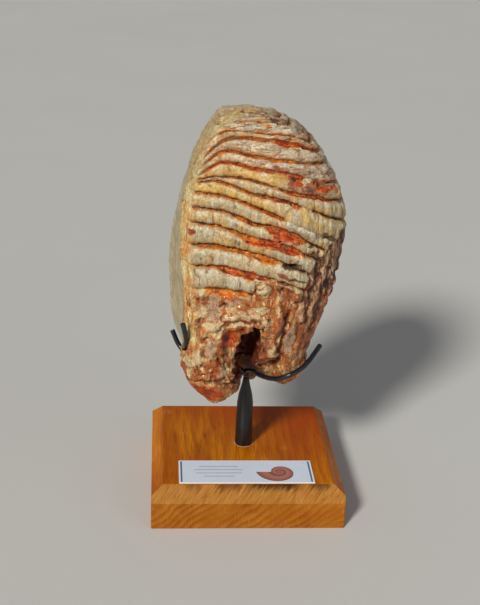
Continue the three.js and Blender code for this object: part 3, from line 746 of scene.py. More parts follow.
# Each kind of patch: its colour at the edge and two shades inside, how ragged it is, how far it covers
PATCH_COLOURS = {
    "ochre": [(204, 160, 92), (210, 174, 98), (182, 136, 66), 2.4, 0.8],
    "plum": [(178, 114, 74), (146, 70, 42), (86, 34, 26), 1.8, 0.85],
    "red": [(208, 130, 48), (202, 70, 0), (92, 26, 4), 2.4, 0.92],
    "orange": [(218, 156, 66), (216, 98, 0), (146, 50, 2), 2.2, 0.9],
    "foot": [(206, 150, 84), (204, 74, 4), (126, 34, 8), 0.8, 0.95],
    "rust": [(180, 110, 56), (156, 72, 24), (98, 40, 14), 2.4, 0.8],
    "mauve": [(190, 158, 122), (178, 146, 118), (154, 118, 90), 1.7, 0.85],
    "cream": [(200, 170, 120), (220, 200, 156), (194, 162, 114), 2.0, 0.85],
    # The dark kind is partly stain, partly painted shade
    "dark": [(124, 84, 48), (78, 48, 26), (42, 24, 14), 3.0, 0.85],
}
# Folds of the front: [places across and up, half width, height; a cut is below 0]
FOLDS = [
    [[(-29, 148), (-31, 142), (-32, 134)], 2.0, 1.5],
    [[(-21, 144), (-21.5, 135), (-22, 128)], 1.6, 1.0],
    [[(-27, 127), (-23.5, 127)], 3.0, 1.8],
    [[(-18, 126), (-22, 121), (-27, 115)], 1.8, 1.4],
    [[(-17, 132), (-9, 135), (0, 136), (6, 132), (7, 126)], 2.2, 1.7],
    [[(-15, 128), (-6, 130), (1, 129)], 1.4, -1.0],
    [[(-30, 147), (-31, 138), (-34, 127)], 1.1, -1.3],
    [[(19.5, 135), (18, 122), (16.3, 106)], 1.1, -2.2],
    [[(27.5, 129), (26.5, 107)], 1.0, -1.2],
    [[(-1, 157), (-0.5, 151), (-3, 147)], 0.9, -1.6],
    [[(12.5, 104), (15.5, 99)], 0.6, -1.0],
    [[(10, 113), (12, 108)], 3.0, 1.6],
    [[(25, 147), (27, 139), (29, 130)], 1.2, 1.2],
    [[(37, 175), (37, 159), (34, 143), (32, 126)], 1.5, -1.8],
    [[(44, 165), (42, 151), (39, 134), (36, 119)], 1.6, -1.6],
    [[(31, 161), (31, 150), (28, 135)], 1.2, -1.6],
    [[(-34, 89.5), (-24, 91.5), (-17, 88.5), (-9, 88)], 1.2, -2.0],
    [[(-41, 97), (-34, 101), (-27, 102)], 1.0, -1.4],
    [[(-32, 112), (-30, 104), (-33, 96)], 1.3, -1.2],
    [[(-22, 110), (-21, 101), (-23, 94)], 1.3, -1.3],
    [[(-16, 104), (-14, 96)], 1.2, -1.2],
    [[(-25, 84), (-18, 77)], 1.0, -1.2],
]
# Dents in the front: [x, z, half width, half height, depth]
DENTS = [
    [-14.5, 117, 4.6, 7, 2.8], [21, 166, 8, 1.6, 1.8], [40, 181.5, 6, 1.5, 1.6], [33, 173, 5, 1.6, 1.4],
    [-25.5, 138, 4.2, 8, 0.9], [27, 145, 3, 4, 1.2], [-8, 123, 4, 3, 1.2], [-18.5, 147, 11, 2.6, 1.4],
    [14, 184.5, 12, 2.6, 1.2], [33, 211, 9, 3, 1.0], [4.8, 150.8, 5, 4.6, -1.8], [-25, 126, 4.2, 2.6, -1.2],
]
# The worn face: [height, place of its front edge, place of its back edge], and its enamel loops
WORN_EDGES = [
    [240, 3, 14], [230, 1, 19], [222, -2, 22], [212, -9, 25], [200, -18, 28], [187, -27, 30],
    [170, -28.5, 31], [150, -26.5, 30], [125, -25.5, 28], [100, -24, 21],
]
LOOP_SPACING = 11.0
LOOP_HALF_WIDTH = 2.9
# Where the plates give way to upright laminations: [height, place across]
SIDE_START = [
    [200, 60], [188, 52], [180, 46], [172, 38], [165, 31], [150, 28.5], [140, 26], [125, 24], [95, 24],
]
# Round the back that line sinks, from this place back, by this much for each mm
SIDE_TURN = -26.0
SIDE_SLOPE = 0.5
# Where zones fade in: from none to all of it, at these heights, or these places across or back
UNDERSIDE = (93, 84)
ROOT_ENDS = (96, 82)
WORN_FOOT = (96, 104)
SIDE_FOOT = (96, 108)
RIM_FOOT = (104, 116)
LOBE_TOP = (116, 104)
LOBE_RIGHT = (4, -6)
BROW_FOOT = (112, 120)
BROW_RIGHT = (13, 6)
BROKEN_END = (-4, 2)
CROWN_START = (206, 224)
SHALLOW_TOP = (192, 208)
SHALLOW_RIGHT = (8, 24)
HOLLOW_FRONT = (-41, -30)
MOUTH_DEPTH = (-12, -24)
# Where they fade in, in mm from their edge
WORN_FADE = 2.5
SIDE_FADE = 5.0
RIM_FADE = (6.5, 2.5)
# How far noise shifts the points for patches and folds, and for broken blocks
PATCH_DRIFT = 2.6
BLOCK_DRIFT = 0.9


def smoothed_copy(node):
    """The solid's surface as an even net of small faces, with its facets smoothed."""
    shape = bmesh.new()
    shape.from_mesh(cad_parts[node].data)
    bmesh.ops.remove_doubles(shape, verts=shape.verts, dist=0.00001)
    bmesh.ops.recalc_face_normals(shape, faces=shape.faces)
    mesh = bpy.data.meshes.new("smoothed")
    shape.to_mesh(mesh)
    shape.free()
    holder = bpy.data.objects.new("smoothed", mesh)
    bpy.context.scene.collection.objects.link(holder)
    remesh = holder.modifiers.new("even_net", "REMESH")
    remesh.mode = "VOXEL"
    remesh.voxel_size = VOXEL * MM
    soften = holder.modifiers.new("soften", "SMOOTH")
    soften.factor = 0.5
    soften.iterations = 10
    bpy.context.view_layer.update()
    result = bpy.data.meshes.new_from_object(holder.evaluated_get(bpy.context.evaluated_depsgraph_get()))
    bpy.data.objects.remove(holder)
    return result


def vectors_of(collection, name, count):
    flat = np.empty(count * 3, np.float32)
    collection.foreach_get(name, flat)
    return flat.reshape(-1, 3).astype(float)


def read_curve(points, at):
    return curve_through([p[0] for p in points], [p[1] for p in points], at)


def layer_height(points):
    """The height of the plates' layer at each point. The crown's layers tilt, so they also cross its top."""
    back = np.maximum(points[:, 1] - CROWN_FRONT, 0)
    return points[:, 2] + CROWN_TILT * back * smooth_step(238, 248, points[:, 2])


def plate_map(points, layer, steepness):
    """The plate coordinate, whole numbers in the grooves, and how thick the plate is there, in mm."""
    x = points[:, 0]
    drift = 0.55 * noise_at(points, 8, 3.0) + 0.4 * noise_at(points, 3.2, 5.0)
    z = layer + drift * steepness
    levels = [np.full(len(x), TOOTH_TOP)]
    levels += [curve_through(STATIONS, heights, x) for heights in GROOVES]
    levels.append(np.minimum(levels[-1] - 40, TOOTH_FOOT))
    plate = np.zeros(len(x))
    pitch = levels[0] - levels[1]
    for above, below in zip(levels, levels[1:]):
        gap = above - below
        share = np.clip((above - z) / gap, 0, 1)
        plate += share
        pitch = np.where(share > 0, gap, pitch)
    return plate, pitch


def oval_place(points, front, x, z, width, height, slope=0.0):
    """1 in the middle of an oval place on the front, 0 at its edge, below 0 outside."""
    across = (points[:, 0] - x) / width
    up = (points[:, 2] - z - slope * (points[:, 0] - x)) / height
    return front * (1 - across ** 2 - up ** 2) - (1 - front)


def gap_to_line(points, line):
    """How far each point is from a broken line on the front, in mm."""
    flat = points[:, [0, 2]]
    gap = np.full(len(flat), 1e6)
    for start, end in zip(line, line[1:]):
        start, along = np.array(start, float), np.subtract(end, start).astype(float)
        share = np.clip((flat - start) @ along / (along @ along), 0, 1)
        gap = np.minimum(gap, np.linalg.norm(flat - start - share[:, None] * along, axis=1))
    return gap


def inside_oval(points, centre, radii, lean=0.0):
    """0 in the middle of an oval, 1 on its skin. It leans about the line from front to back."""
    x, y, z = (points - centre).T
    across = x * math.cos(lean) - z * math.sin(lean)
    up = x * math.sin(lean) + z * math.cos(lean)
    return np.linalg.norm(np.stack([across, y, up], 1) / radii, axis=1)


def worn_edges(z):
    """Where the worn face starts and ends, front to back, at each height."""
    heights = [row[0] for row in WORN_EDGES]
    return [curve_through(heights, [row[i] for row in WORN_EDGES], z) for i in (1, 2)]


def enamel_loops(points):
    """On the worn face: 0 on the ridge of an enamel loop, below 0 inside it, above 0 outside, in mm."""
    y, z = points[:, 1], points[:, 2]
    place = (TOOTH_TOP + 2 - z + 1.3 * noise_at(points, (12, 16, 12), 30.0)) / LOOP_SPACING
    number = np.floor(place)
    across = np.abs(place - number - 0.5) * LOOP_SPACING
    start, end = worn_edges(z)
    middle = (start + end) / 2 + np.sin(number * 2.4)
    reach = (end - start) / 2 - LOOP_HALF_WIDTH
    beyond = np.maximum(np.abs(y - middle) - reach, 0)
    crinkle = 1.1 * noise_at(points, (40, 4.0, 6), 20.0) + 0.5 * noise_at(points, (40, 1.8, 5), 23.0)
    return np.hypot(across, beyond) - LOOP_HALF_WIDTH + crinkle


def along_groove(groove, start, end, fade, x, nearest, front):
    """1 along a stretch of one groove on the front, 0 elsewhere. It fades over some mm at each end."""
    inside = smooth_step(start - fade, start + fade, x) * smooth_step(end + fade, end - fade, x)
    return (nearest == groove) * front * inside


def groove_character(points, x, nearest, front):
    """Half the width of the nearest groove, in mm, and how red it is."""
    width = GROOVE_HALF_WIDTH * (1 + 0.6 * noise_at(points, 6, 8.0))
    redness = 0.12 + 0.5 * noise_at(points, 13, 2.0)
    for groove, start, end, extra, red in GROOVE_STAINS:
        here = along_groove(groove, start, end, 3, x, nearest, front)
        width = width + here * extra
        redness = redness * (1 - here) + red * here
    behind = (1 - front) * smooth_step(0.1, 0.45, noise_at(points, 17, 12.0))
    width = width + behind * 1.2
    for groove, start, end in CLOSED:
        shut = along_groove(groove, start, end, 2, x, nearest, front)
        width = width * (1 - shut) - 2.0 * shut
    return width, redness + behind * 0.4


def broken_relief(points, plate, layer, shares):
    """The blocks of every zone: their relief in mm, how near a crease each point is, and the block's tone."""
    relief, crease, tone = np.zeros((3, len(points)))
    shuffle = np.floor(plate)[:, None] * (12.4, 22.8, 0.0)
    layered = np.stack([points[:, 0], points[:, 1], layer], 1)
    for zone, size, rise, cut, lean in BLOCKS:
        here = np.flatnonzero(shares[zone] > 0)
        places = {"plates": points + shuffle, "crown": layered + shuffle}.get(zone, points)
        edge, dome, tilt, own = blocks_at(places[here], size, 2.0)
        share = shares[zone][here]
        relief[here] += share * (rise * dome + lean * tilt - cut * edge)
        crease[here] = np.maximum(crease[here], share * edge)
        tone[here] = np.where(tone[here] == 0, share * own, tone[here])
    return relief, crease, tone


def worn_zones(points, normals, front):
    """The worn face, the rim round it, and how far each point is from the rim's edge, in mm."""
    x, y, z = points.T
    start, end = worn_edges(z)
    wander = 1.4 * noise_at(points, 6, 35.0) + 3.0 * noise_at(points, 19, 37.0)
    worn = smooth_step(0.5, 0.75, -normals[:, 0]) * smooth_step(*WORN_FOOT, z)
    worn *= smooth_step(0, WORN_FADE, y - start + wander) * smooth_step(0, WORN_FADE, end - y + wander)
    rim_gap = x - read_curve(RIM, z) + 1.5 * noise_at(points, 5, 31.0)
    rim = np.maximum(smooth_step(*RIM_FADE, rim_gap) * front, smooth_step(0.6, 0.85, -normals[:, 0]))
    rim *= (1 - worn) * smooth_step(*RIM_FOOT, z)
    return worn, rim, rim_gap


def side_zone(points, front, worn):
    """The right side, where upright laminations take the place of the plates."""
    x, y, z = points.T
    sunk = (1 - front) * (SIDE_SLOPE * (y - SIDE_TURN) + 14 * noise_at(points, 15, 42.0))
    side = x - read_curve(SIDE_START, z + 9 * noise_at(points, 22, 4.0) + sunk) + 3 * noise_at(points, 7, 1.0)
    return smooth_step(0, SIDE_FADE, side) * (1 - worn) * smooth_step(*SIDE_FOOT, z)


def root_zones(points, front, plate, worn, side):
    """The roots, and the plates above them."""
    broken_end = smooth_step(*BROKEN_END, points[:, 0]) * front
    ragged_end = (1 - front) * (0.5 + 1.3 * noise_at(points, 14, 40.0))
    start = len(GROOVES) + 0.02 - 0.85 * broken_end - ragged_end
    root = smooth_step(start, start + 0.1, plate) * (1 - worn) * (1 - 0.8 * side)
    plated = smooth_step(start + 0.28, start + 0.08, plate) * (1 - 0.85 * side)
    return root, plated


def hollow_zones(points, front):
    """The hollow between the roots, the recess under it that is only painted in shade, and the relief of the
    hollow's ragged mouth.
    """
    y = points[:, 1]
    place = inside_oval(points, HOLLOW_CENTRE, HOLLOW_RADII, HOLLOW_LEAN)
    ragged = noise_at(points, 4.2, 26.0, 2)
    hollow = smooth_step(1.16, 1.03, place + 0.14 * ragged) * smooth_step(*HOLLOW_FRONT, y)
    shaded_recess = smooth_step(1.1, 0.9, inside_oval(points, RECESS_CENTRE, RECESS_RADII)) * front
    mouth = np.exp(-((place - 1.05) / 0.18) ** 2) * smooth_step(*MOUTH_DEPTH, y)
    return hollow, shaded_recess, HOLLOW_RAGGED * ragged * mouth


def block_shares(points, front, plated, upper, side, root, lumpy):
    """How far each zone's blocks count at every point."""
    x, z = points[:, 0], points[:, 2]
    lobe = smooth_step(*LOBE_TOP, z) * smooth_step(*LOBE_RIGHT, x)
    brow = smooth_step(*BROW_FOOT, z) * smooth_step(*BROW_RIGHT, x) * front
    return {
        "plates": plated * (1 - upper), "crown": plated * upper, "side": side * (1 - root),
        "brow": lumpy * (1 - lobe) * brow, "roots": lumpy * (1 - lobe) * (1 - brow), "lobe": lumpy * lobe,
    }


def plate_relief(points, front, plated, width, below_groove, pitch):
    """Grooves between the plates, shallower near the crown, and the swell of each plate, in mm."""
    opened = smooth_step(-1, 0, width)
    reach = np.abs(width) + np.where(below_groove > 0.2 * width, 0.6, 0.25)
    groove = np.exp(-((below_groove - 0.2 * width) / reach) ** 2)
    shallow = 0.35 + 0.3 * smooth_step(*SHALLOW_RIGHT, points[:, 0])
    shallow *= smooth_step(*SHALLOW_TOP, points[:, 2]) * front
    bar = np.clip(1 - 2 * np.abs(below_groove) / np.maximum(pitch, 3), 0, 1)
    depth = GROOVE_DEPTH * groove * (2 * opened - 1) * (1 - shallow)
    return (PLATE_SWELL * (1 - bar ** 3) - depth) * plated


def rough_relief(points, warped, lumpy):
    """Unevenness of two sizes everywhere, and deep veins between the lumps of the roots, in mm."""
    veins = 0.1 - 1.8 * np.abs(noise_at(warped, (11, 11, 20), 14.0, 2))
    return 0.45 * noise_at(points, 6.5, 6.0, 3) + lumpy * veins + 0.18 * noise_at(points, 2.4, 7.0, 2)


def dent_depths(points, front):
    """How deep the dents are at every point, in mm."""
    depths = np.zeros(len(points))
    for x, z, half_width, half_height, deepest in DENTS:
        inside = np.clip(oval_place(points, front, x, z, half_width, half_height), 0, 1)
        depths += deepest * inside ** 0.7
    return depths


def fold_heights(points, front):
    """How high the folds stand at every point, in mm. A cut is below 0."""
    heights = np.zeros(len(points))
    for line, half_width, crest in FOLDS:
        heights += crest * front * np.exp(-(gap_to_line(points, line) / half_width) ** 2)
    return heights


def patch_places(points, front):
    """For each kind of patch: 1 in the middle of one, 0 at its edge, -1 well outside."""
    kinds = {}
    for kind, places in PATCHES.items():
        kinds[kind] = np.full(len(points), -1.0)
        for place in places:
            kinds[kind] = np.maximum(kinds[kind], oval_place(points, front, *place))
    return kinds


def tooth_surface():
    """The tooth's mesh with its relief, and what its material reads at every point."""
    noise.seed_set(LEAN_SEED)
    mesh = smoothed_copy("molar")
    count = len(mesh.vertices)
    points = vectors_of(mesh.vertices, "co", count) / MM
    normals = vectors_of(mesh.vertex_normals, "vector", count)
    x, z = points[:, 0], points[:, 2]
    front = smooth_step(0.0, 0.3, -normals[:, 1] + 0.5 * smooth_step(*UNDERSIDE, z))

    steepness = np.clip(np.sqrt(1 - normals[:, 2] ** 2), 0.3, 1)
    layer = layer_height(points)
    plate, pitch = plate_map(points, layer, steepness)
    pitch /= steepness
    nearest = np.clip(np.round(plate), 1, len(GROOVES))
    below_groove = (plate - nearest) * pitch
    worn, rim, rim_gap = worn_zones(points, normals, front)
    side = side_zone(points, front, worn)
    root, plated = root_zones(points, front, plate, worn, side)
    hollow, shaded_recess, mouth = hollow_zones(points, front)
    upper = smooth_step(*CROWN_START, z + 0.25 * x)
    lumpy = root * (1 - 0.6 * smooth_step(*ROOT_ENDS, z))
    width, redness = groove_character(points, x, nearest, front)
    width += 0.25 * upper

    warp = np.stack([noise_at(points, 6, seed) for seed in (50.0, 55.0, 60.0)], 1)
    warped = points + PATCH_DRIFT * warp
    kinds = patch_places(warped, front)
    shares = block_shares(points, front, plated, upper, side, root, lumpy)
    relief, crease, tone = broken_relief(points + BLOCK_DRIFT * warp, plate, layer, shares)
    relief += plate_relief(points, front, plated, width, below_groove, pitch)
    relief -= CROWN_WEAR * smooth_step(0.5, 0.0, plate)
    relief *= 1 - 0.6 * smooth_step(0, 0.3, np.maximum(kinds["mauve"], kinds["foot"]))
    fold = fold_heights(warped, front)
    relief += rough_relief(points, warped, lumpy) - dent_depths(points, front) + fold + mouth
    rim_lines = np.abs(noise_at(points, (2.2, 3.4, 22), 18.0))
    relief += rim * (0.5 - 1.8 * rim_lines - 0.75 * relief)

    loop = enamel_loops(points)
    worn_relief = 0.12 * np.exp(-(loop / 0.6) ** 2) - 0.08 * smooth_step(0, -1, loop)
    worn_relief += 0.12 * noise_at(points, 4, 21.0, 2)
    relief += worn * (worn_relief - relief)
    moved = points + normals * relief[:, None]
    mesh.vertices.foreach_set("co", (moved * MM).astype(np.float32).ravel())

    ochre = np.array(OCHRE)[np.clip(np.floor(plate).astype(int), 0, len(OCHRE) - 1)]
    ochre *= 1 - 0.85 * smooth_step(0, 12, x) * front
    fields = {
        "plate": plate, "pitch": pitch, "width": width, "redness": redness, "plated": plated, "worn": worn,
        "rim": rim, "side": side, "root": root, "hollow": hollow, "shaded_recess": shaded_recess, "relief": relief,
        "loop": loop, "ochre": ochre, "upper": upper, "fold": fold, "crease": crease, "tone": tone,
        "layer": layer, "rim_gap": rim_gap,
    }
    fields.update({"patch_" + kind: values for kind, values in kinds.items()})
    for name, values in fields.items():
        mesh.attributes.new(name, "FLOAT", "POINT").data.foreach_set("value", values.astype(np.float32))
    mesh.update()
    return mesh


# The tooth's colours, in screen values: the enamel of the plates
ENAMEL = {
    "grey": (188, 178, 150), "buff": (176, 158, 122), "yellowed": (196, 156, 90), "speck": (140, 118, 84),
    "fibre": (146, 124, 88), "pale fibre": (228, 222, 204), "crown": (204, 188, 158),
    "brown crown": (166, 138, 112), "grey crown": (170, 156, 142), "tan crown": (190, 134, 84),
    "layer": (110, 64, 30), "pale layer": (232, 220, 194), "top": (206, 194, 166), "ochre": (220, 180, 92),
    "deep ochre": (198, 148, 56), "lit edge": (232, 224, 198), "shaded lower edge": (160, 116, 62),
    "crease": (126, 82, 44),
}
# Rust in and beside the grooves, and their dark core, partly painted shade
RUST = {
    "halo": (200, 128, 62), "brown": (122, 72, 42), "tan": (176, 112, 58), "orange": (216, 128, 26),
    "deep orange": (158, 72, 10), "red": (202, 74, 0), "deep red": (104, 32, 6), "gold": (214, 144, 66),
    "shaded_core": (66, 32, 12),
}
# Roots: their own colours, then a painted highlight for raised parts and painted shade for sunken places and
# creases
ROOT = {
    "brown": (158, 98, 44), "tan": (190, 146, 86), "red": (172, 82, 18), "mauve": (176, 140, 104),
    "cream": (214, 184, 124), "dark streak": (122, 60, 20), "vein": (172, 68, 4), "flake": (222, 200, 154),
    "raised": (222, 194, 138), "sunken shade": (132, 58, 14), "rusty crease": (160, 74, 22),
    "crease": (58, 24, 8), "deepest": (48, 20, 8),
}
# The side's laminations, and painted shade for its creases and sunken places
SIDE = {
    "brown": (158, 112, 74), "tan": (186, 150, 114), "pale flake": (206, 178, 142),
    "terracotta": (150, 84, 46), "cream": (216, 196, 162), "brown line": (140, 84, 52),
    "rust": (186, 92, 40), "low rust": (180, 80, 22), "dark line": (60, 30, 16), "crease": (50, 26, 14),
    "sunken shade": (84, 38, 16),
}
# The rim round the worn face
EDGE = {
    "cream": (212, 198, 146), "yellow": (208, 172, 98), "orange": (204, 128, 46),
    "rust line": (192, 104, 40), "dark line": (104, 50, 28), "pale line": (240, 228, 196),
    "crown": (158, 148, 112),
}
# The worn face
FACE = {
    "tan": (190, 172, 122), "olive": (162, 142, 98), "streak": (136, 118, 74), "grey": (180, 172, 142),
    "loop": (158, 120, 78), "enamel": (214, 204, 176), "fleck": (168, 104, 54),
}
# Folds, cracks and hollows: a painted highlight on fold crests, painted shade in fold cuts and recesses, a
# dark hollow deepened with painted shade, and dark cracks
BREAK = {
    "raised fold": (220, 194, 150), "cut": (96, 46, 26), "crack": (100, 50, 22), "shaded_recess": (92, 40, 22),
    "deep recess": (52, 30, 22), "hollow": (128, 54, 28), "deep hollow": (70, 30, 16),
}
# Greys that the finest mottling is laid over with
MOTTLE_DARK = (140, 140, 140)
MOTTLE_LIGHT = (226, 226, 226)


def enamel_colour(n, tones):
    """Pale enamel with upright fibres, greyer and flaky near the crown, ochre in some plates, with a painted
    highlight along each plate's upper edge and painted shade along its lower edge.
    """
    upright = n.noise((0.8, 0.8, 9), 3, 0.55, 0.15, 2.0)
    x, y, z = n.axes(n.point())
    layered = n.add("ShaderNodeCombineXYZ", {"X": x, "Y": y, "Z": n.attribute("layer")}).outputs[0]
    flat_lines = n.noise((12, 10, 1.5), 3, 0.6, 0.4, 4.0, layered)
    tone = n.attribute("tone")
    pale = n.mix(n.between(tone, -0.7, 0.7), ENAMEL["grey"], ENAMEL["buff"])
    low = n.between(z, 176, 160)
    yellowed = n.between(tones["large"], 0.43, 0.56, 0.0, 0.8)
    yellowed = n.math("MULTIPLY", yellowed, n.between(low, 0.0, 1.0, 1.0, 0.3))
    pale = n.mix(yellowed, pale, ENAMEL["yellowed"])
    pale = n.mix(n.between(tones["grain"], 0.52, 0.64, 0.0, 0.5), pale, ENAMEL["speck"])
    pale = n.mix(n.between(upright, 0.5, 0.66, 0.0, 0.35), pale, ENAMEL["fibre"])
    pale = n.mix(n.between(upright, 0.42, 0.32, 0.0, 0.4), pale, ENAMEL["pale fibre"])
    crown = n.mix(n.between(tone, -0.5, 0.6), ENAMEL["crown"], ENAMEL["brown crown"])
    crown = n.mix(n.between(tones["large"], 0.52, 0.62, 0.0, 0.6), crown, ENAMEL["grey crown"])
    crown = n.mix(n.between(tones["medium"], 0.56, 0.64, 0.0, 0.6), crown, ENAMEL["tan crown"])
    crown = n.mix(n.between(flat_lines, 0.56, 0.62, 0.0, 0.85), crown, ENAMEL["layer"])
    crown = n.mix(n.between(flat_lines, 0.42, 0.34, 0.0, 0.8), crown, ENAMEL["pale layer"])
    crown = n.mix(n.between(n.attribute("plate"), 1.1, 0.5, 0.0, 0.5), crown, ENAMEL["top"])
    colour = n.mix(n.attribute("upper"), pale, crown)
    ochre = n.mix(n.between(tone, -0.6, 0.6), ENAMEL["ochre"], ENAMEL["deep ochre"])
    share = n.math("MULTIPLY", n.attribute("ochre"), n.between(tones["medium"], 0.25, 0.6, 0.45, 1.0))
    colour = n.mix(share, colour, ochre)
    # Painted highlight along each plate's upper edge, painted shade along its lower edge
    down = n.math("FRACT", n.attribute("plate"))
    lit = n.math("MULTIPLY", n.between(down, 0.08, 0.2), n.between(down, 0.3, 0.55, 1.0, 0.0))
    lit = n.math("MULTIPLY", lit, n.between(tones["small"], 0.6, 0.4, 0.1, 0.5))
    colour = n.mix(lit, colour, ENAMEL["lit edge"])
    colour = n.mix(n.between(down, 0.65, 0.95, 0.0, 0.45), colour, ENAMEL["shaded lower edge"])
    # Brown in the creases between blocks: partly stain, partly painted shade
    crease = n.math("MULTIPLY", n.attribute("crease"), n.between(tones["medium"], 0.4, 0.6, 0.3, 1.0))
    colour = n.mix(n.between(crease, 0.4, 0.9, 0.0, 0.7), colour, ENAMEL["crease"])
    return colour, upright, flat_lines


def groove_colour(n, tones, colour):
    """Rust in the grooves, from brown to orange to red, with a dark core that is partly dark infill and
    partly painted shade under the plate above, and a stain beside them.
    """
    plate = n.attribute("plate")
    width = n.attribute("width")
    nearest = n.math("MAXIMUM", n.math("ROUND", plate), 1.0)
    below = n.math("MULTIPLY", n.math("SUBTRACT", plate, nearest), n.attribute("pitch"))
    gap = n.math("ABSOLUTE", n.math("ADD", below, n.math("MULTIPLY", width, 0.3)))
    stain_gap = n.math("ABSOLUTE", n.math("SUBTRACT", below, n.math("MULTIPLY", width, 0.5)))
    plated = n.attribute("plated")
    uneven = n.math("MULTIPLY", n.math("SUBTRACT", tones["streaky"], 0.5), 3.0)
    beyond = n.math("ADD", n.math("SUBTRACT", stain_gap, width), uneven)
    groove = n.math("MULTIPLY", n.between(beyond, 0.0, 0.4, 1.0, 0.0), plated)
    halo = n.math("MULTIPLY", n.between(beyond, 0.2, 2.4, 0.8, 0.0), plated)
    halo = n.math("MULTIPLY", halo, n.between(tones["medium"], 0.4, 0.6))
    colour = n.mix(halo, colour, RUST["halo"])
    redness = n.math("ADD", n.attribute("redness"), n.math("SUBTRACT", tones["medium"], 0.5))
    brown = n.mix(n.between(tones["medium"], 0.4, 0.6), RUST["brown"], RUST["tan"])
    orange = n.mix(n.between(tones["streaky"], 0.4, 0.6), RUST["orange"], RUST["deep orange"])
    red = n.mix(n.between(tones["streaky"], 0.42, 0.58), RUST["red"], RUST["deep red"])
    red = n.mix(n.between(tones["medium"], 0.56, 0.64, 0.0, 0.8), red, RUST["gold"])
    rust = n.mix(n.between(redness, 0.1, 0.4), brown, orange)
    rust = n.mix(n.between(redness, 0.55, 0.85), rust, red)
    colour = n.mix(groove, colour, rust)
    bare = n.between(n.math("MAXIMUM", n.attribute("rim"), n.attribute("worn")), 0.2, 0.9, 1.0, 0.15)
    opened = n.math("MULTIPLY", n.math("MULTIPLY", plated, bare), n.between(width, -1.0, 0.0))
    # The dark core: partly dark infill, partly painted shade under the upper plate's edge
    shaded_core = n.between(gap, 0.15, 0.55, 1.0, 0.0)
    shaded_core = n.math("MULTIPLY", shaded_core, n.between(tones["medium"], 0.38, 0.6, 0.25, 0.9))
    shaded_core = n.math("MULTIPLY", shaded_core, n.between(n.attribute("upper"), 0.0, 1.0, 1.0, 0.6))
    colour = n.mix(n.math("MULTIPLY", shaded_core, opened), colour, RUST["shaded_core"])
    cut = n.math("MULTIPLY", n.between(gap, 0.0, 0.8, -1.0, 0.0), opened)
    return colour, cut


def root_colour(n, tones, flake, right):
    """Tan and cream areas with rusty veins that run down and rust in the creases, a painted highlight on
    raised parts, and painted shade, dark red-brown, in sunken places and the deepest creases.
    """
    long_streaks = n.noise((3.0, 3.0, 16), 3, 0.55, 0.5, 14.0)
    short_streaks = n.noise((5.0, 5.0, 8), 3, 0.55, 0.8, 17.0)
    streak = n.blend(right, short_streaks, long_streaks)
    long_veins = n.noise((5.5, 5.5, 26), 3, 0.5, 0.6, 24.0)
    short_veins = n.noise((8, 8, 11), 3, 0.55, 1.0, 27.0)
    vein = n.math("ABSOLUTE", n.math("SUBTRACT", n.blend(right, short_veins, long_veins), 0.5))
    uneven = n.math("SUBTRACT", tones["small"], 0.5)
    broad = n.math("ADD", n.attribute("tone"), uneven)
    relief = n.math("ADD", n.attribute("relief"), n.math("MULTIPLY", uneven, 2.0))
    crease = n.math("ADD", n.attribute("crease"), n.math("MULTIPLY", uneven, 0.8))
    colour = n.mix(n.between(broad, -0.5, 0.2), ROOT["brown"], ROOT["tan"])
    reddened = n.between(tones["large"], n.between(right, 0.0, 1.0, 0.5, 0.42), 0.57, 0.0, 0.65)
    colour = n.mix(reddened, colour, ROOT["red"])
    colour = n.mix(n.between(tones["large"], 0.44, 0.39, 0.0, 0.5), colour, ROOT["mauve"])
    colour = n.mix(n.between(streak, 0.46, 0.4, 0.0, 0.85), colour, ROOT["cream"])
    colour = n.mix(n.between(streak, 0.57, 0.64, 0.0, 0.7), colour, ROOT["dark streak"])
    colour = n.mix(n.between(vein, 0.045, 0.02, 0.0, 0.8), colour, ROOT["vein"])
    colour = n.mix(n.between(flake, 0.92, 0.94, 0.0, 0.4), colour, ROOT["flake"])
    # Painted highlight on raised parts, then painted shade in sunken places and the deepest creases; the
    # rusty crease is rust
    colour = n.mix(n.between(relief, 0.6, 1.8, 0.0, 0.55), colour, ROOT["raised"])
    colour = n.mix(n.between(relief, -1.0, -2.2, 0.0, 0.65), colour, ROOT["sunken shade"])
    colour = n.mix(n.between(crease, 0.45, 0.75, 0.0, 0.5), colour, ROOT["rusty crease"])
    colour = n.mix(n.between(crease, 0.85, 1.1, 0.0, 0.85), colour, ROOT["crease"])
    return n.mix(n.between(relief, -2.1, -3.3, 0.0, 0.9), colour, ROOT["deepest"])


def side_colour(n, tones, flake):
    """Upright laminations of grey tan, terracotta and cream, parted by dark lines, with painted shade in the
    creases and sunken places.
    """
    laminated = n.noise((1.5, 1.5, 22), 3, 0.62, 0.2, 9.0)
    broad = n.math("ADD", n.attribute("tone"), n.math("SUBTRACT", tones["medium"], 0.5))
    colour = n.mix(n.between(broad, -0.4, 0.4), SIDE["brown"], SIDE["tan"])
    colour = n.mix(n.between(flake, 0.7, 0.74, 0.0, 0.6), colour, SIDE["pale flake"])
    colour = n.mix(n.between(flake, 0.22, 0.18, 0.0, 0.6), colour, SIDE["terracotta"])
    colour = n.mix(n.between(laminated, 0.42, 0.36, 0.0, 0.7), colour, SIDE["cream"])
    colour = n.mix(n.between(laminated, 0.52, 0.58, 0.0, 0.6), colour, SIDE["brown line"])
    colour = n.mix(n.between(tones["medium"], 0.58, 0.64, 0.0, 0.6), colour, SIDE["rust"])
    low = n.between(n.axes(n.point())[2], 165, 140)
    low = n.math("MULTIPLY", low, n.between(tones["large"], 0.4, 0.6, 0.25, 0.8))
    colour = n.mix(low, colour, SIDE["low rust"])
    colour = n.mix(n.between(laminated, 0.59, 0.64, 0.0, 0.9), colour, SIDE["dark line"])
    # Painted shade in the creases and sunken places
    colour = n.mix(n.between(n.attribute("crease"), 0.5, 0.9, 0.0, 0.85), colour, SIDE["crease"])
    return n.mix(n.between(n.attribute("relief"), -0.5, -1.8, 0.0, 0.65), colour, SIDE["sunken shade"])


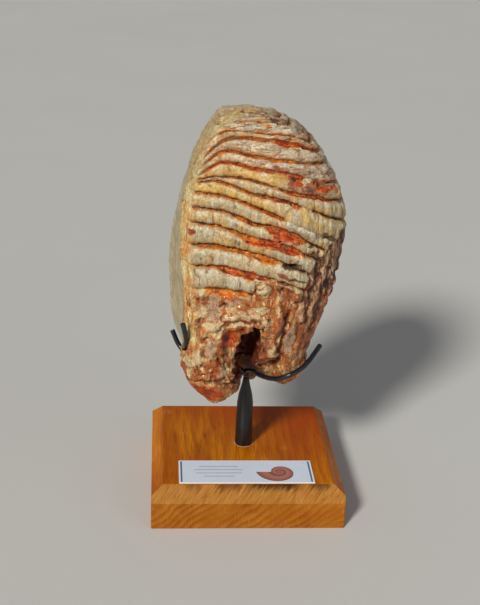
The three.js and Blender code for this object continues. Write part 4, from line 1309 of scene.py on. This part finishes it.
def rim_colour(n, tones):
    """Cream and yellow, with orange blotches and upright red-brown lines."""
    y, z = n.axes(n.point())[1:]
    along = n.add("ShaderNodeCombineXYZ", {"X": n.attribute("rim_gap"), "Y": y, "Z": z}).outputs[0]
    lines = n.noise((1.1, 2.4, 24), 3, 0.6, 0.3, 18.0, along)
    colour = n.mix(n.between(tones["medium"], 0.36, 0.62), EDGE["cream"], EDGE["yellow"])
    colour = n.mix(n.between(tones["large"], 0.5, 0.6, 0.0, 0.6), colour, EDGE["orange"])
    colour = n.mix(n.between(lines, 0.52, 0.6, 0.0, 0.85), colour, EDGE["rust line"])
    colour = n.mix(n.between(lines, 0.62, 0.68, 0.0, 0.9), colour, EDGE["dark line"])
    colour = n.mix(n.between(lines, 0.4, 0.34, 0.0, 0.8), colour, EDGE["pale line"])
    return n.mix(n.between(z, 195, 218, 0.0, 0.4), colour, EDGE["crown"])


def worn_colour(n, tones):
    """Smooth olive tan, with faint enamel loops and a few rusty flecks."""
    streaks = n.noise((3, 1.6, 40), 3, 0.55, 0.2, 11.0)
    loop = n.attribute("loop")
    back = n.between(n.axes(n.point())[1], -4, 14, 0.1, 1.0)
    colour = n.mix(n.between(n.noise(7, 3, 0.6, 0.6, 12.0), 0.4, 0.6), FACE["tan"], FACE["olive"])
    streak_share = n.math("MULTIPLY", n.between(streaks, 0.42, 0.6), n.between(back, 0.1, 1.0, 0.8, 0.15))
    colour = n.mix(streak_share, colour, FACE["streak"])
    colour = n.mix(n.between(tones["large"], 0.45, 0.62, 0.0, 0.6), colour, FACE["grey"])
    colour = n.mix(n.math("MULTIPLY", n.between(loop, -0.3, -1.0, 0.0, 0.4), back), colour, FACE["loop"])
    enamel = n.between(n.math("ABSOLUTE", loop), 0.35, 0.85, 0.5, 0.0)
    colour = n.mix(n.math("MULTIPLY", enamel, back), colour, FACE["enamel"])
    flecks = n.between(n.noise((2, 2, 7), 2, 0.6, 0.5, 13.0), 0.64, 0.72, 0.0, 0.8)
    return n.mix(flecks, colour, FACE["fleck"])


def patches_over(n, tones, colour):
    """The patches of the front, each kind in its shades and with a broken edge."""
    ragged = n.math("SUBTRACT", n.math("ADD", tones["small"], tones["medium"]), 1.0)
    mottled = n.blend(0.3, tones["streaky"], tones["grain"])
    for kind, (edge, first, second, raggedness, cover) in PATCH_COLOURS.items():
        place = n.math("ADD", n.attribute("patch_" + kind), n.math("MULTIPLY", ragged, raggedness))
        shade = n.mix(n.between(mottled, 0.44, 0.6), first, second)
        shade = n.mix(n.between(place, 0.15, 0.6), edge, shade)
        colour = n.mix(n.between(place, 0.0, 0.3, 0.0, cover), colour, shade)
    return colour


def folds_over(n, tones, colour):
    """Pale crests and dark cuts, where the front is folded: cream with a painted highlight on the crests, and
    painted shade in the cuts.
    """
    fold = n.math("MULTIPLY", n.attribute("fold"), n.between(tones["small"], 0.35, 0.6, 1.2, 0.5))
    colour = n.mix(n.between(fold, 0.4, 1.4, 0.0, 0.6), colour, BREAK["raised fold"])
    return n.mix(n.between(fold, -0.4, -1.4, 0.0, 0.8), colour, BREAK["cut"])


def mottled_over(n, tone, share, colour):
    """Light and dark specks of a tone, laid over a colour."""
    specks = n.mix(tone, MOTTLE_DARK, MOTTLE_LIGHT)
    return n.mix(share, colour, specks, "OVERLAY")


def tooth_tones(n):
    """The noises that the tooth's colours share. The streaky one follows the plates."""
    x, y = n.axes(n.point())[:2]
    down = n.math("MULTIPLY", n.attribute("plate"), PLATE_PITCH)
    with_plates = n.add("ShaderNodeCombineXYZ", {"X": x, "Y": y, "Z": down}).outputs[0]
    return {
        "small": n.noise(2.0, 3, 0.6, 0.4, 3.0), "medium": n.noise(4.6, 3, 0.55, 0.5, 5.0),
        "large": n.noise(13.0, 2, 0.5, 0.5, 8.0), "grain": n.noise(1.3, 4, 0.7, 0.3, 33.0),
        "streaky": n.noise((6, 5, 1.6), 3, 0.6, 0.4, 36.0, with_plates),
    }


def tooth_material():
    """Each part of the tooth in its own colours with some painted highlight and shade, under one fine relief
    and a thin gloss.
    """
    material, n = new_material("fossil_tooth")
    tones = tooth_tones(n)
    worn = n.attribute("worn")
    right = n.between(n.axes(n.point())[0], -6, 8)
    flake, short_slant = n.flakes((4.6, 4.6, 7.0))
    long_flake, long_slant = n.flakes((2.8, 2.8, 13), 8.0)
    fine_flake, fine_slant = n.flakes((1.5, 1.5, 3.4), 5.0)
    colour, upright, flat_lines = enamel_colour(n, tones)
    colour, cut = groove_colour(n, tones, colour)
    colour = n.mix(n.math("MULTIPLY", n.attribute("side"), 0.95), colour, side_colour(n, tones, long_flake))
    colour = n.mix(n.attribute("root"), colour, root_colour(n, tones, flake, right))
    rim_share = n.math("MULTIPLY", n.attribute("rim"), n.between(tones["medium"], 0.3, 0.5, 0.6, 1.0))
    colour = n.mix(rim_share, colour, rim_colour(n, tones))
    colour = patches_over(n, tones, colour)
    colour = folds_over(n, tones, colour)
    colour = mottled_over(n, n.between(tones["grain"], 0.3, 0.7), 0.6, colour)
    colour = mottled_over(n, n.between(fine_flake, 0.1, 0.9), 0.2, colour)
    broken = n.between(n.math("MAXIMUM", n.attribute("root"), n.attribute("side")), 0.0, 1.0, 0.15, 1.0)
    crack = n.math("MULTIPLY", n.between(n.cracks(8.0), 0.01, 0.03, 0.7, 0.0), broken)
    crack = n.math("MULTIPLY", crack, n.between(tones["medium"], 0.5, 0.62))
    colour = n.mix(crack, colour, BREAK["crack"])
    colour = n.mix(worn, colour, worn_colour(n, tones))
    # Painted shade in the recess under the hollow
    shaded_recess = n.mix(flake, BREAK["shaded_recess"], BREAK["deep recess"])
    colour = n.mix(n.math("MULTIPLY", n.attribute("shaded_recess"), 0.8), colour, shaded_recess)
    # The hollow: dark brown-red, deepened with painted shade
    hollow = n.mix(tones["small"], BREAK["hollow"], BREAK["deep hollow"])
    colour = n.mix(n.attribute("hollow"), colour, hollow)

    upper = n.attribute("upper")
    lines = n.math("ADD", n.math("MULTIPLY", upright, n.between(upper, 0.0, 1.0, 1.0, 0.2)),
                   n.math("MULTIPLY", flat_lines, upper))
    slants = n.math("ADD", n.math("MULTIPLY", n.blend(right, short_slant, long_slant), 2.0),
                    n.math("MULTIPLY", fine_slant, 0.5))
    height = n.math("ADD", n.math("MULTIPLY", tones["grain"], 0.9), n.math("MULTIPLY", tones["small"], 0.4))
    height = n.math("ADD", height, n.math("ADD", lines, cut))
    height = n.math("ADD", height, n.math("MULTIPLY", slants, broken))
    height = n.math("SUBTRACT", height, n.math("MULTIPLY", crack, 0.5))
    height = n.math("MULTIPLY", height, n.between(worn, 0.0, 1.0, 1.0, 0.15))

    roughness = n.between(tones["small"], 0.3, 0.7, 0.3, 0.52)
    reds = n.math("MAXIMUM", n.attribute("patch_red"), n.attribute("patch_orange"))
    coat = n.math("MAXIMUM", n.between(reds, -0.5, 0.2, 0.0, 0.4),
                  n.between(n.attribute("root"), 0.0, 1.0, 0.08, 0.2))
    gloss = {"Coat Weight": coat, "Coat Roughness": 0.12, "Specular IOR Level": 0.35}
    finish_material(n, colour, roughness, n.bump(height, SKIN_RELIEF), gloss)
    return material


def make_tooth():
    make_piece("molar_surface", tooth_surface(), tooth_material(), "molar")


# Stage

def make_camera():
    pitch, yaw, roll = (math.radians(a) for a in (CAMERA_PITCH, CAMERA_YAW, CAMERA_ROLL))
    forward = Vector((math.sin(yaw) * math.cos(pitch), math.cos(yaw) * math.cos(pitch), -math.sin(pitch)))
    level = Vector((math.cos(yaw), -math.sin(yaw), 0))
    up = level.cross(forward)
    right = math.cos(roll) * level + math.sin(roll) * up
    upward = -math.sin(roll) * level + math.cos(roll) * up
    data = bpy.data.cameras.new("camera")
    data.lens = CAMERA_LENS
    data.sensor_width = 36
    data.clip_start = 0.01
    camera = bpy.data.objects.new("camera", data)
    turn = Matrix((right, upward, -forward)).transposed().to_4x4()
    camera.matrix_world = Matrix.Translation(Vector(CAMERA_PLACE) * MM) @ turn
    bpy.context.scene.collection.objects.link(camera)
    bpy.context.scene.camera = camera


def make_light(name, place, size, power, colour):
    """A soft square light at a place in mm, aimed at the tooth."""
    data = bpy.data.lights.new(name, "AREA")
    data.size = size * MM
    data.energy = power
    data.color = colour
    light = bpy.data.objects.new(name, data)
    start = Vector(place) * MM
    target = Vector((0, 0, 130)) * MM
    light.location = start
    light.rotation_euler = (target - start).to_track_quat("-Z", "Y").to_euler()
    bpy.context.scene.collection.objects.link(light)


def make_key(direction, strength, spread, colour):
    """The main light: far away, soft-edged, from a direction."""
    data = bpy.data.lights.new("key", "SUN")
    data.energy = strength
    data.angle = math.radians(spread)
    data.color = colour
    light = bpy.data.objects.new("key", data)
    light.rotation_euler = Vector(direction).to_track_quat("Z", "Y").to_euler()
    bpy.context.scene.collection.objects.link(light)


def make_floor():
    shape = bmesh.new()
    bmesh.ops.create_grid(shape, x_segments=1, y_segments=1, size=6000)
    bmesh.ops.translate(shape, vec=(0, 0, -0.1), verts=shape.verts)
    mesh = mesh_from(shape, "floor")
    material, n = new_material("pale_floor")
    colour = n.mix(n.noise(300, 2), (206, 204, 200), (200, 198, 194))
    finish_material(n, colour, n.between(n.noise(40, 2), 0.0, 1.0, 0.6, 0.7), n.bump(n.noise(3, 2), 0.02))
    floor = bpy.data.objects.new("floor", mesh)
    mesh.materials.append(material)
    bpy.context.scene.collection.objects.link(floor)


def make_world():
    world = bpy.data.worlds.new("studio")
    bpy.context.scene.world = world
    world.use_nodes = True
    sky = world.node_tree.nodes["Background"]
    sky.inputs["Color"].default_value = (0.92, 0.95, 1.0, 1.0)
    sky.inputs["Strength"].default_value = 0.2


make_camera()
make_world()
make_floor()
make_key((-0.44, -0.7, 0.56), 3.1, 10, (1.0, 0.98, 0.92))
make_light("fill", (900, -900, 500), 900, 2.4, (0.92, 0.95, 1.0))
bpy.context.scene.view_settings.view_transform = "Standard"

make_plinth()
dress_label()
make_post()
make_cradle()
make_tooth()
